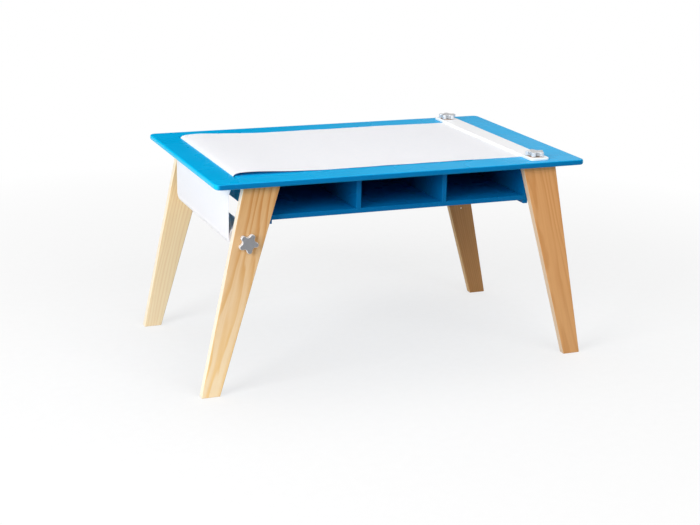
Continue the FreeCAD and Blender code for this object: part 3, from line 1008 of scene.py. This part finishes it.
def islands(node: str) -> list[tuple[Vector, Vector]]:
    """Boxes of the separate solids in a node.

    Args:
        node: Name of the node.

    Returns:
        Lowest and highest corner of each, in order of place.
    """
    form = bmesh.new()
    form.from_mesh(bpy.data.objects[node].data)
    bmesh.ops.remove_doubles(form, verts=form.verts[:], dist=1e-6)
    left = set(form.verts)
    found = []
    while left:
        stack = [left.pop()]
        group = []
        while stack:
            vertex = stack.pop()
            group.append(vertex.co.copy())
            for edge in vertex.link_edges:
                other = edge.other_vert(vertex)
                if other in left:
                    left.remove(other)
                    stack.append(other)
        low = Vector([min(point[axis] for point in group) for axis in range(3)])
        high = Vector([max(point[axis] for point in group) for axis in range(3)])
        found.append((low, high))
    form.free()
    return sorted(found, key=lambda pair: [round(value, 4) for value in pair[0]])


class ScrewRun(Enum):
    """Which way a set of screws points."""

    UPWARD = "up"
    OUTWARD = "out"


@dataclass
class ScrewSet:
    """The screws of one node, each with its recess and thread.

    Attributes:
        node: The node that holds them.
        run: Which way they point.
    """

    node: str
    run: ScrewRun

    def place(self, low: Vector, high: Vector) -> tuple[Matrix, float]:
        """Where one screw stands, from its solid's box.

        Args:
            low: Lowest corner.
            high: Highest corner.

        Returns:
            Its place, with Z along the screw, and its length.
        """
        middle = (low + high) / 2
        if self.run is ScrewRun.UPWARD:
            head = Vector((middle.x, middle.y, low.z))
            axis, length = Vector((0, 0, 1)), high.z - low.z
        else:
            side = math.copysign(1.0, middle.x)
            head = Vector((low.x if side > 0 else high.x, middle.y, middle.z))
            axis, length = Vector((side, 0, 0)), high.x - low.x
        spin = Matrix.Rotation(head.x * 31 + head.y * 17, 4, "Z")
        return Matrix.Translation(head) @ laid_along(axis) @ spin, length

    def build(self, material: bpy.types.Material) -> bpy.types.Object:
        """Makes all the screws of the set as one piece.

        Args:
            material: Their plating.

        Returns:
            The piece.
        """
        mesh = Mesh()
        for low, high in islands(self.node):
            place, length = self.place(low, high)
            mesh.add(CrossScrew(length).build(), place)
        return mesh.piece(self.node + "_cut", "frame", "steel", self.node, material)


@dataclass
class ThreadedStud:
    """The stud of a star knob, with its thread.

    Attributes:
        node: The node of the plain rod.
        body: The body that it turns with.
        groove: Depth of the thread.
        pitch: Rise of the thread in one turn.
        ease: Length over which the thread starts and ends.
        sharp: Angle in degrees above which an edge stays sharp.
    """

    node: str
    body: str
    groove: float = 0.00068
    pitch: float = 0.00125
    ease: float = 0.0009
    sharp: float = 75.0

    def build(self, material: bpy.types.Material) -> bpy.types.Object:
        """Makes the stud in the place of its plain rod.

        Args:
            material: Its plating.

        Returns:
            The piece.
        """
        low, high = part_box(self.node)
        size = high - low
        lengthwise = max(range(3), key=lambda axis: size[axis])
        middle = (low + high) / 2
        half = size[lengthwise] / 2
        axis = Vector([1.0 if k == lengthwise else 0.0 for k in range(3)])
        rod = Mesh()
        thread = Thread(min(size) / 2, self.groove, self.pitch)
        numbers = rod.grid(thread.rows(-half, half, self.ease), around=True)
        rod.cap(numbers[0])
        rod.cap(numbers[-1], flip=True)
        placed = Mesh()
        placed.add(rod, Matrix.Translation(middle) @ laid_along(axis))
        return placed.piece(self.node + "_threaded", self.body, "steel", self.node, material, self.sharp)


@dataclass
class PaperSheet:
    """The sheet that rises from the roll, comes up through the slot and runs under the clamp bar.

    Attributes:
        width: Width of the paper.
        thick: Thickness that is shown.
        axle_height: Height of the roll's axis, where the sheet leaves the roll.
        leave_x: Where it leaves the roll.
        slot_x: Middle of the slot.
        underside: Height of the top's lower face.
        surface: Height of the middle of the sheet on the top.
        shift_rise: Height over which it moves from the roll to the slot.
        shift_reach: How far up in the slot that move ends.
        play: How far it stands left of the slot's middle.
        crest: Height of the sheet's highest bend above the top.
        slot_bend: Radius of the bend in the slot.
        slot_turn: Turn of that bend, in degrees.
        crest_bend: Radius of the bend out of the slot.
        crown_rise: Slope at which the sheet starts over its crown, in degrees.
        crown_bend: Radius of the crown.
        slope: Fall of the sheet after the crest, in degrees.
        landing: Radius with which it meets the top.
        tail_x: Where it ends, under the bar.
        flat_x: From where it lies without waves.
        loose_from: How far past the slot's middle the waves start.
        loose_over: Length over which they come in.
        held_over: Length over which they settle before the bar.
        long_wave: Height of the long waves.
        short_wave: Height of the short ones.
        slack: Share of the waves that is left in the sheet.
        curl: Rise of the sheet's edges.
        columns: Faces across the sheet.
    """

    width: float = 0.457
    thick: float = 0.0003
    axle_height: float = 0.373
    leave_x: float = -0.4250
    slot_x: float = -0.4122
    underside: float = 0.507
    surface: float = 0.5202
    shift_rise: float = 0.040
    shift_reach: float = 0.001
    play: float = 0.0020
    crest: float = 0.0070
    slot_bend: float = 0.006
    slot_turn: float = 30.0
    crest_bend: float = 0.009
    crown_rise: float = 5.0
    crown_bend: float = 0.42
    slope: float = 3.0
    landing: float = 2.0
    tail_x: float = 0.3815
    flat_x: float = 0.30
    loose_from: float = 0.002
    loose_over: float = 0.012
    held_over: float = 0.12
    long_wave: float = 0.0011
    short_wave: float = 0.00022
    slack: float = 0.6
    curl: float = 0.0007
    columns: int = 40

    def route(self) -> list[tuple[float, float]]:
        """The sheet's way as runs and bends.

        Returns:
            Length and turn of each run or bend, the turn in radians and to the left.
        """
        start_x = self.slot_x - self.play
        shift = start_x - self.leave_x
        shift_top = self.underside + self.shift_reach
        turn = 2 * math.atan2(shift, self.shift_rise)
        shift_radius = self.shift_rise / (2 * math.sin(turn))
        rise, fall = math.radians(self.slot_turn), math.radians(self.slope)
        crown = math.radians(self.crown_rise)
        over = math.pi / 2 - rise - crown
        bend_low = self.surface + self.crest - self.crown_bend * (1 - math.cos(crown))
        bend_low -= self.crest_bend * (math.cos(crown) - math.sin(rise)) + self.slot_bend * math.sin(rise)
        drop = self.crest - self.crown_bend * (1 - math.cos(fall))
        glide = (drop - self.landing * (1 - math.cos(fall))) / math.sin(fall)
        landed = start_x + self.slot_bend * (1 - math.cos(rise))
        landed += self.crest_bend * (math.cos(rise) - math.sin(crown))
        landed += self.crown_bend * (math.sin(crown) + math.sin(fall))
        landed += glide * math.cos(fall) + self.landing * math.sin(fall)
        return [
            (shift_top - self.shift_rise - self.axle_height, 0.0),
            (shift_radius * turn, -turn),
            (shift_radius * turn, turn),
            (bend_low - shift_top, 0.0),
            (self.slot_bend * rise, -rise),
            (self.crest_bend * over, -over),
            (self.crown_bend * (crown + fall), -(crown + fall)),
            (glide, 0.0),
            (self.landing * fall, fall),
            (self.tail_x - landed, 0.0),
        ]

    def line(self, step: float = 0.004, bend_step: float = 0.08) -> list[tuple[Vector, Vector]]:
        """Points along the route with the direction that the sheet's face looks.

        Args:
            step: Longest step along a run.
            bend_step: Largest turn in a step.

        Returns:
            Each point with its outward normal, in the XZ plane.
        """
        place, heading = Vector((self.leave_x, 0.0, self.axle_height)), math.pi / 2
        made = []
        for length, turn in self.route():
            count = max(1, math.ceil(length / step), math.ceil(abs(turn) / bend_step))
            for _ in range(count):
                made.append((place.copy(), Vector((-math.sin(heading), 0.0, math.cos(heading)))))
                half = heading + turn / count / 2
                chord = length / count
                if turn:
                    chord *= math.sin(abs(turn) / count / 2) / (abs(turn) / count / 2)
                place = place + Vector((math.cos(half), 0.0, math.sin(half))) * chord
                heading += turn / count
        made.append((place, Vector((-math.sin(heading), 0.0, math.cos(heading)))))
        return made

    def lift(self, place: Vector, across: float) -> float:
        """How far the sheet stands off its plain route, as loose paper does.

        Args:
            place: The point on the route.
            across: Place across the sheet.

        Returns:
            The distance along the sheet's normal.
        """
        hair = 0.0001
        if place.z < self.surface - hair or place.x < self.slot_x:
            return 0.0
        free = min(1.0, max(0.0, (place.x - self.slot_x - self.loose_from) / self.loose_over))
        held = min(1.0, max(0.0, (self.flat_x - place.x) / self.held_over))
        share = across / self.width
        roll_wave = math.sin(23 * place.x + 2.1 * share) * math.cos(5.2 * share + 9 * place.x)
        small_wave = math.sin(61 * place.x - 4.0 * share + 1.0)
        wave = self.long_wave * (0.55 + 0.45 * roll_wave) + self.short_wave * (1 + small_wave)
        edge_curl = self.curl * (2 * abs(share)) ** 4
        return (wave * self.slack + edge_curl) * free * held

    def build(self, material: bpy.types.Material) -> bpy.types.Object:
        """Makes the sheet with its two faces and cut edges.

        Args:
            material: The paper.

        Returns:
            The piece.
        """
        offsets = [self.width * (k / self.columns - 0.5) for k in range(self.columns + 1)]
        line = self.line()
        mesh = Mesh()
        faces = []
        for side in (0.5, -0.5):
            rows = []
            for place, normal in line:
                row = []
                for across in offsets:
                    lift = self.lift(place, across) + side * self.thick
                    row.append(place + Vector((0.0, across, 0.0)) + normal * lift)
                rows.append(row)
            faces.append(mesh.grid(rows, flip=side < 0))
        upper, lower = faces
        for edge, flip in ((0, True), (-1, False)):
            mesh.bridge(upper[edge], lower[edge], around=False, flip=flip)
            above, below = [row[edge] for row in upper], [row[edge] for row in lower]
            mesh.bridge(above, below, around=False, flip=not flip)
        piece = mesh.piece("paper_sheet", "frame", "paper", "paper_web", material)
        length = sum(run for run, _ in self.route())
        return piece


@dataclass
class WoundRoll:
    """The paper on its core, with the turns showing at both ends.

    Attributes:
        turns: Turns that show.
        inner: Radius of the innermost turn.
        tier: How far a turn sinks between its neighbours.
        around: Points in a ring.
        radial: Rings across an end.
        skin: Bands along the outer turn.
        soft: How far the outer turn is out of round.
        sharp: Angle in degrees above which an edge stays sharp.
    """

    turns: int = 26
    inner: float = 0.0133
    tier: float = 0.0006
    around: int = 120
    radial: int = 78
    skin: int = 16
    soft: float = 0.00012
    sharp: float = 60.0

    def outer(self, radius: float, angle: float, along: float) -> float:
        """Radius of the outer turn, which is never quite round."""
        wave = math.sin(3 * angle + 14 * along) + math.sin(5 * angle - 9 * along)
        return radius - self.soft * (1 + 0.5 * wave)

    def build(self, material: bpy.types.Material) -> bpy.types.Object:
        """Makes the roll, with a spiral of turns on each end.

        Args:
            material: The paper.

        Returns:
            The piece.
        """
        low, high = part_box("paper_roll")
        middle = (low + high) / 2
        radius, half = (high.x - low.x) / 2, (high.y - low.y) / 2
        mesh = Mesh()

        def point(reach: float, angle: float, along: float) -> Vector:
            """A point about the axle."""
            x, z = reach * math.cos(angle), reach * math.sin(angle)
            return Vector((middle.x + x, middle.y + along, middle.z + z))

        angles = [2 * math.pi * k / self.around for k in range(self.around)]
        rings = []
        for end in (-1, 1):
            rows = []
            for i in range(self.radial + 1):
                share = i / self.radial
                row = []
                for angle in angles:
                    edge = self.outer(radius, angle, end * half)
                    reach = self.inner + (edge - self.inner) * share
                    wind = share * self.turns - end * angle / (2 * math.pi)
                    drift = 0.4 * math.sin(7 * share + end) + 0.6
                    sunk = self.tier * drift * (0.5 + 0.5 * math.cos(2 * math.pi * wind))
                    row.append(point(reach, angle, end * (half - sunk)))
                rows.append(row)
            rings.append(mesh.grid(rows, around=True, flip=end > 0))
        front, back = rings
        rows = []
        for i in range(1, self.skin):
            along = half * (2 * i / self.skin - 1)
            rows.append([point(self.outer(radius, angle, along), angle, along) for angle in angles])
        barrel = mesh.grid(rows, around=True)
        mesh.bridge(front[-1], barrel[0])
        mesh.bridge(barrel[-1], back[-1])
        mesh.bridge(back[0], front[0])
        return mesh.piece("wound_paper", "roll", "paper", "paper_roll", material, self.sharp)


@dataclass
class Finishes:
    """Puts the finishes on the frame's nodes."""

    frame_nodes: dict[str, bpy.types.Object]

    def dress(self, names: list[str], material: bpy.types.Material) -> None:
        """Puts one finish on some nodes.

        Args:
            names: The nodes.
            material: Their finish.
        """
        for name in names:
            slots = self.frame_nodes[name].data.materials
            slots.clear()
            slots.append(material)
            LOG.info("%s: %s", name, material.name)


@dataclass
class TableBody:
    """The painted top and the tray with its three cubbies."""

    # Painted shade in the side colour and painted light in the end colour.
    top_paint: PaintFinish = PaintFinish(
        "blue_paint",
        face=tone(0, 177, 235),
        cloud=tone(0, 173, 230),
        side=tone(0, 112, 170),
        end=tone(16, 196, 240),
        worn=tone(30, 186, 236),
    )
    # A darker copy of the top's paint, painted shade under the top; its end colour is painted light on the
    # tray's outer side faces.
    tray_paint_painted_shade: PaintFinish = PaintFinish(
        "blue_tray_paint",
        face=tone(0, 112, 170),
        cloud=tone(0, 106, 163),
        side=tone(0, 98, 154),
        end=tone(0, 186, 240),
        worn=tone(40, 150, 205),
    )
    top: str = "table_top"
    tray: tuple[str, ...] = (
        "tray_bottom", "tray_back", "tray_side_left", "tray_side_right", "divider_left", "divider_right",
    )

    def dress(self, finishes: Finishes) -> None:
        """Paints the boards."""
        finishes.dress([self.top], self.top_paint.make())
        finishes.dress(list(self.tray), self.tray_paint_painted_shade.make())


@dataclass
class LegSet:
    """The four pine legs, each sawn from its own board, with the corner blocks behind them.

    Attributes:
        top_x: Middle of a leg at its top, along the table.
        foot_x: Middle of a leg at the floor.
        height: Height of the legs' tops.
        face_y: The legs' outer faces.
        thick: Thickness of a leg.
        honey: Wood of the front left leg.
        amber: Wood of the front right leg.
        straw: Wood of the back left leg.
        tan_painted_shade: Wood of the back right leg, darkened as painted shade under the table.
        bare: Wood of the corner blocks and the axle, without lacquer.
        knot: Middle of the pin knot on the back right leg's inner face.
    """

    top_x: float = 0.361
    foot_x: float = 0.48775
    height: float = 0.507
    face_y: float = 0.285
    thick: float = 0.020
    # The woods differ partly by board and partly as painted light and shade; their edge colours are
    # painted light.
    honey: PineFinish = PineFinish(
        early=tone(216, 176, 124),
        middle=tone(205, 160, 106),
        late=tone(184, 124, 62),
        foot=tone(250, 227, 188),
        edge=tone(255, 249, 232),
        paling=0.95,
        contrast=0.9,
        late_foot=tone(246, 206, 140),
    )
    amber: PineFinish = PineFinish(
        early=tone(222, 166, 106),
        middle=tone(213, 155, 97),
        late=tone(196, 132, 70),
        foot=tone(228, 178, 120),
        edge=tone(233, 210, 180),
        paling=0.4,
        contrast=0.6,
    )
    straw: PineFinish = PineFinish(
        early=tone(255, 232, 186),
        middle=tone(254, 224, 172),
        late=tone(236, 192, 132),
        foot=tone(255, 238, 204),
        edge=tone(255, 246, 226),
        paling=0.6,
        contrast=0.5,
    )
    tan_painted_shade: PineFinish = PineFinish(
        early=tone(192, 139, 86),
        middle=tone(181, 128, 76),
        late=tone(162, 107, 56),
        foot=tone(206, 158, 102),
        edge=tone(255, 206, 140),
        paling=0.3,
        contrast=0.55,
    )
    bare: PineFinish = PineFinish(
        early=tone(240, 216, 172),
        middle=tone(230, 198, 148),
        late=tone(208, 164, 108),
        foot=tone(240, 216, 172),
        edge=tone(230, 198, 148),
        paling=0.0,
        contrast=0.7,
        lacquer=0.0,
        rough=(0.6, 0.75),
    )
    knot: Triple = (0.423, 0.265, 0.260)

    def boards(self) -> list[tuple[str, PineFinish, Board]]:
        """Sorts out the wood of the legs.

        Returns:
            Each leg with its wood and the board that it was sawn from.
        """
        return [
            ("leg_front_left", self.honey, self.board(-1, -1, GrainCut.CATHEDRAL, 0.37)),
            ("leg_front_right", self.amber, self.board(1, -1, GrainCut.FLAT, 1.91)),
            ("leg_back_left", self.straw, self.board(-1, 1, GrainCut.QUARTER, 3.13)),
            ("leg_back_right", self.tan_painted_shade, self.board(1, 1, GrainCut.RIFT, 4.57)),
        ]

    def board(self, side: int, end: int, cut: GrainCut, seed: float) -> Board:
        """Where a leg's board lies.

        Args:
            side: -1 at the left and 1 at the right.
            end: -1 at the front and 1 at the back.
            cut: How it was sawn.
            seed: Place in the noise.

        Returns:
            The board.
        """
        slant = math.atan2(self.foot_x - self.top_x, self.height)
        near = self.face_y if end < 0 else self.face_y - self.thick
        knot = self.knot if side > 0 and end > 0 else None
        origin = (side * self.top_x, end * near, self.height)
        return Board(origin, (0.0, side * slant, 0.0), cut, seed, knot)

    def dress(self, finishes: Finishes) -> None:
        """Gives each leg and each block its wood.

        Args:
            finishes: Where the nodes are.
        """
        for name, wood, board in self.boards():
            finishes.dress([name], wood.make(name + "_pine", board))
            block = name.replace("leg", "corner_block")
            low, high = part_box(block)
            upright = Board(tuple((low + high) / 2), (0.0, 0.0, 0.6), GrainCut.RIFT, board.seed + 7.0)
            finishes.dress([block], self.bare.make(block + "_pine", upright))


@dataclass
class PaperFeed:
    """The axle with its roll and the sheet drawn from it."""

    legs: LegSet
    sheet: PaperSheet
    roll: WoundRoll
    paper: PaperFinish = PaperFinish("white_paper", tone(247, 247, 252), tone(244, 245, 251))
    card: CardFinish = CardFinish("brown_card", tone(172, 136, 96), tone(142, 108, 74))

    def dress(self, finishes: Finishes) -> None:
        """Finishes the axle and the core, and makes the roll and the sheet.

        Args:
            finishes: Where the nodes are.
        """
        low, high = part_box("roll_axle")
        board = Board(tuple((low + high) / 2), (math.pi / 2, 0.0, 0.0), GrainCut.FLAT, 9.2)
        finishes.dress(["roll_axle"], self.legs.bare.make("axle_pine", board))
        finishes.dress(["roll_core"], self.card.make())
        paper = self.paper.make()
        self.roll.build(paper)
        self.sheet.build(paper)


@dataclass
class PaperClamp:
    """The white bar with its washers."""

    paint: PaintFinish = PaintFinish(
        "white_paint",
        face=tone(252, 252, 253),
        cloud=tone(249, 249, 251),
        side=tone(250, 251, 252),
        end=tone(250, 251, 252),
        worn=tone(252, 252, 252),
        rough=(0.18, 0.28),
        gloss=0.04,
    )
    brass: PlatedFinish = PlatedFinish("yellow_plate", tone(196, 146, 84), tone(160, 108, 58))

    def dress(self, finishes: Finishes) -> None:
        """Finishes the bar and the washers."""
        finishes.dress(["clamp_bar"], self.paint.make())
        finishes.dress(["clamp_washers"], self.brass.make())


@dataclass
class StarKnobs:
    """The four star knobs and their studs."""

    # Painted light and shade: rim is a painted highlight and face is painted shade; hollow is painted
    # light on the roll knobs and painted shade on the clamp knobs.
    roll_plastic: MouldedFinish = MouldedFinish(
        "silver_plastic_upright",
        rim=tone(238, 243, 250),
        face=tone(130, 131, 135),
        flake=tone(176, 178, 182),
        hollow=tone(226, 230, 237),
        axis=1,
    )
    clamp_plastic: MouldedFinish = MouldedFinish(
        "silver_plastic_level",
        rim=tone(222, 227, 233),
        face=tone(206, 205, 206),
        flake=tone(216, 217, 220),
        hollow=tone(58, 60, 66),
        axis=2,
    )
    pairs: tuple[tuple[str, str], ...] = (
        ("roll_stud_front", "front_roll_knob"),
        ("roll_stud_back", "back_roll_knob"),
        ("clamp_stud_front", "front_clamp_knob"),
        ("clamp_stud_back", "back_clamp_knob"),
    )

    def dress(self, finishes: Finishes, steel: bpy.types.Material) -> None:
        """Finishes the knobs and cuts the studs' threads.

        Args:
            finishes: Where the nodes are.
            steel: Plating of the studs.
        """
        roll_plastic, clamp_plastic = self.roll_plastic.make(), self.clamp_plastic.make()
        for stud, body in self.pairs:
            plastic = roll_plastic if stud.startswith("roll") else clamp_plastic
            finishes.dress([stud.replace("stud", "knob")], plastic)
            ThreadedStud(stud, body).build(steel)


@dataclass
class Hardware:
    """Bolts, inserts and screws. The screws in the tray's sides were painted over with the tray."""

    zinc: PlatedFinish = PlatedFinish("zinc_plate", tone(196, 198, 202), tone(170, 173, 178))
    # Its blues copy the tray's darker paint, painted shade under the top.
    over_paint: PaintFinish = PaintFinish(
        "painted_over",
        face=tone(0, 106, 163),
        cloud=tone(0, 100, 156),
        side=tone(0, 98, 154),
        end=tone(0, 100, 156),
        worn=tone(40, 150, 205),
    )
    plain: tuple[str, ...] = ("leg_bolts", "leg_inserts", "axle_inserts", "clamp_inserts")
    screws: tuple[tuple[str, ScrewRun], ...] = (
        ("block_screws", ScrewRun.OUTWARD),
        ("top_screws", ScrewRun.UPWARD),
        ("divider_screws", ScrewRun.UPWARD),
    )

    def dress(self, finishes: Finishes) -> bpy.types.Material:
        """Plates the hardware and makes the screws.

        Args:
            finishes: Where the nodes are.

        Returns:
            The plating.
        """
        zinc, over_paint = self.zinc.make(), self.over_paint.make()
        finishes.dress(list(self.plain), zinc)
        for node, run in self.screws:
            ScrewSet(node, run).build(over_paint if run is ScrewRun.OUTWARD else zinc)
        return zinc


@dataclass(frozen=True)
class SoftBox:
    """A soft studio light.

    Attributes:
        name: Its name.
        place: Where it stands.
        aim: What it looks at.
        size: Width and height.
        watts: Its power.
        glossy: Whether it shows in reflections.
    """

    name: str
    place: Triple
    aim: Triple
    size: tuple[float, float]
    watts: float
    glossy: bool = True

    def build(self) -> None:
        """Puts up the light."""
        data = bpy.data.lights.new(self.name, "AREA")
        data.shape = "RECTANGLE"
        data.size, data.size_y = self.size
        data.energy = self.watts
        lamp = bpy.data.objects.new(self.name, data)
        lamp.location = self.place
        lamp.rotation_euler = (Vector(self.aim) - Vector(self.place)).to_track_quat("-Z", "Y").to_euler()
        lamp.visible_camera = False
        lamp.visible_glossy = self.glossy
        bpy.context.scene.collection.objects.link(lamp)


@dataclass
class Studio:
    """Floor, flags, light and camera.

    Attributes:
        camera_place: Where the camera stands.
        look: The camera's direction.
        across: The camera's right-hand direction.
        lens: Focal length on a 36 mm frame.
        ambient: Strength of the light from all round.
        floor_bounce: What the floor gives back to the table.
        boxes: The lights.
        floor_reach: Half width of the floor.
        floor_lost: Distances over which the floor is lost in white.
        floor_white: Share of white at those distances.
        flag_radius: Radius of the ring of flags.
        flag_height: Height of the flags.
        flag_rise: Heights over which the flags grow paler, and how pale they are there.
        flag_right: Places along X over which they grow paler too, and how pale they are there.
    """

    camera_place: Triple = (-1.39618, -3.39272, 1.29415)
    look: Triple = (0.359359, 0.889071, -0.283575)
    across: Triple = (0.929158, -0.369134, 0.020151)
    lens: float = 75.096
    ambient: float = 0.22
    floor_bounce: Rgba = tone(210, 210, 210)
    boxes: tuple[SoftBox, ...] = (
        SoftBox("key", (-4.2, -2.3, 2.2), (0.0, 0.0, 0.45), (2.4, 2.4), 200.0),
        SoftBox("overhead", (0.2, 0.4, 3.6), (0.0, 0.0, 0.5), (3.2, 2.4), 46.0),
        SoftBox("front_fill", (0.6, -3.6, 3.0), (0.0, 0.0, 0.3), (3.0, 2.0), 60.0, False),
    )
    floor_reach: float = 40.0
    floor_lost: tuple[float, float] = (0.8, 2.2)
    floor_white: tuple[float, float] = (0.68, 1.0)
    flag_radius: float = 7.0
    flag_height: float = 5.0
    flag_rise: tuple[float, float, float, float] = (3.0, 5.0, 0.0, 0.08)
    flag_right: tuple[float, float, float, float] = (1.9, 4.1, 0.0, 0.75)

    def camera(self) -> None:
        """Sets up the camera as the photograph was taken."""
        data = bpy.data.cameras.new("camera")
        data.sensor_width = 36.0
        data.lens = self.lens
        data.clip_start, data.clip_end = 0.05, 200.0
        forward, right = Vector(self.look).normalized(), Vector(self.across).normalized()
        upward = right.cross(forward)
        turn = Matrix((right, upward, -forward)).transposed().to_4x4()
        camera = bpy.data.objects.new("camera", data)
        camera.matrix_world = Matrix.Translation(self.camera_place) @ turn
        bpy.context.scene.collection.objects.link(camera)
        bpy.context.scene.camera = camera

    @staticmethod
    def seen(nodes: bpy.types.Nodes, links: bpy.types.NodeLinks) -> bpy.types.NodeSocket:
        """1 for rays that show the background: camera, glossy and transmission rays.

        Args:
            nodes: Nodes of the tree that asks.
            links: Links of that tree.

        Returns:
            The value.
        """
        rays = nodes.new("ShaderNodeLightPath")
        total = rays.outputs["Is Camera Ray"]
        for name in ("Is Glossy Ray", "Is Transmission Ray"):
            summed = nodes.new("ShaderNodeMath")
            summed.operation = "MAXIMUM"
            links.new(total, summed.inputs[0])
            links.new(rays.outputs[name], summed.inputs[1])
            total = summed.outputs[0]
        return total

    def backdrop(self) -> None:
        """Makes the world: white where it is seen, and a softer light all round."""
        world = bpy.data.worlds.new("studio")
        bpy.context.scene.world = world
        world.use_nodes = True
        nodes, links = world.node_tree.nodes, world.node_tree.links
        shown = nodes["Background"]
        shown.inputs["Color"].default_value = (1.0, 1.0, 1.0, 1.0)
        strength = nodes.new("ShaderNodeMapRange")
        links.new(self.seen(nodes, links), strength.inputs[0])
        strength.inputs[3].default_value = self.ambient
        strength.inputs[4].default_value = 1.0
        links.new(strength.outputs[0], shown.inputs["Strength"])

    def floor(self) -> None:
        """Lays a plain pale floor that keeps the table's shadow and is lost in white further off."""
        graph = NodeGraph("pale_floor")
        where = graph.where()
        seen = self.seen(graph.nodes, graph.links)
        dust = graph.noise(where, scale=40.0, detail=4.0)
        pale = graph.ramp(dust, [(0.3, tone(243, 243, 243)), (0.7, tone(247, 247, 247))])
        graph.set(Base_Color=graph.mix(seen, self.floor_bounce, pale), Roughness=0.9)
        glow = graph.add("Emission")
        glow.inputs["Color"].default_value = (1.0, 1.0, 1.0, 1.0)
        far = graph.span(graph.vector("LENGTH", where), *self.floor_lost, *self.floor_white)
        blend = graph.add("MixShader")
        graph.feed(blend.inputs[0], graph.math("MULTIPLY", seen, far))
        graph.feed(blend.inputs[1], graph.shader.outputs[0])
        graph.feed(blend.inputs[2], glow.outputs[0])
        graph.feed(graph.nodes["Material Output"].inputs["Surface"], blend.outputs[0])
        reach = self.floor_reach
        mesh = Mesh()
        mesh.grid([[Vector((x, y, 0.0)) for x in (-reach, reach)] for y in (-reach, reach)])
        floor = mesh.laid_out("floor", graph.material)

    def flags(self) -> None:
        """Stands a ring of grey flags round the set, which only reflections see."""
        graph = NodeGraph("grey_flag")
        glow = graph.add("Emission")
        where = graph.where()
        rise = graph.span(graph.part(where, 2), *self.flag_rise)
        right = graph.span(graph.part(where, 0), *self.flag_right)
        graph.feed(glow.inputs["Strength"], graph.math("ADD", rise, right))
        graph.feed(graph.nodes["Material Output"].inputs["Surface"], glow.outputs[0])
        mesh = Mesh()
        rows = [ring_points(self.flag_radius, height, 64) for height in (0.0, self.flag_height)]
        mesh.grid(rows, around=True)
        flags = mesh.laid_out("flags", graph.material)
        flags.visible_camera = False
        flags.visible_diffuse = False
        flags.visible_shadow = False
        flags.visible_transmission = False

    def build(self) -> None:
        """Puts up the whole studio."""
        bpy.context.scene.view_settings.view_transform = "Standard"
        self.backdrop()
        self.floor()
        self.flags()
        for box in self.boxes:
            box.build()
        self.camera()
        LOG.info("studio: %d lights", len(self.boxes))


def main() -> None:
    """Loads the frame, dresses each sub-assembly in turn and puts up the studio."""
    logging.basicConfig(level=logging.INFO, format="%(name)s %(message)s")
    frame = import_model()
    finishes = Finishes(frame["nodes"])
    legs = LegSet()
    TableBody().dress(finishes)
    legs.dress(finishes)
    steel = Hardware().dress(finishes)
    PaperFeed(legs, PaperSheet(), WoundRoll()).dress(finishes)
    PaperClamp().dress(finishes)
    StarKnobs().dress(finishes, steel)
    Studio().build()


if __name__ == "__main__":
    main()
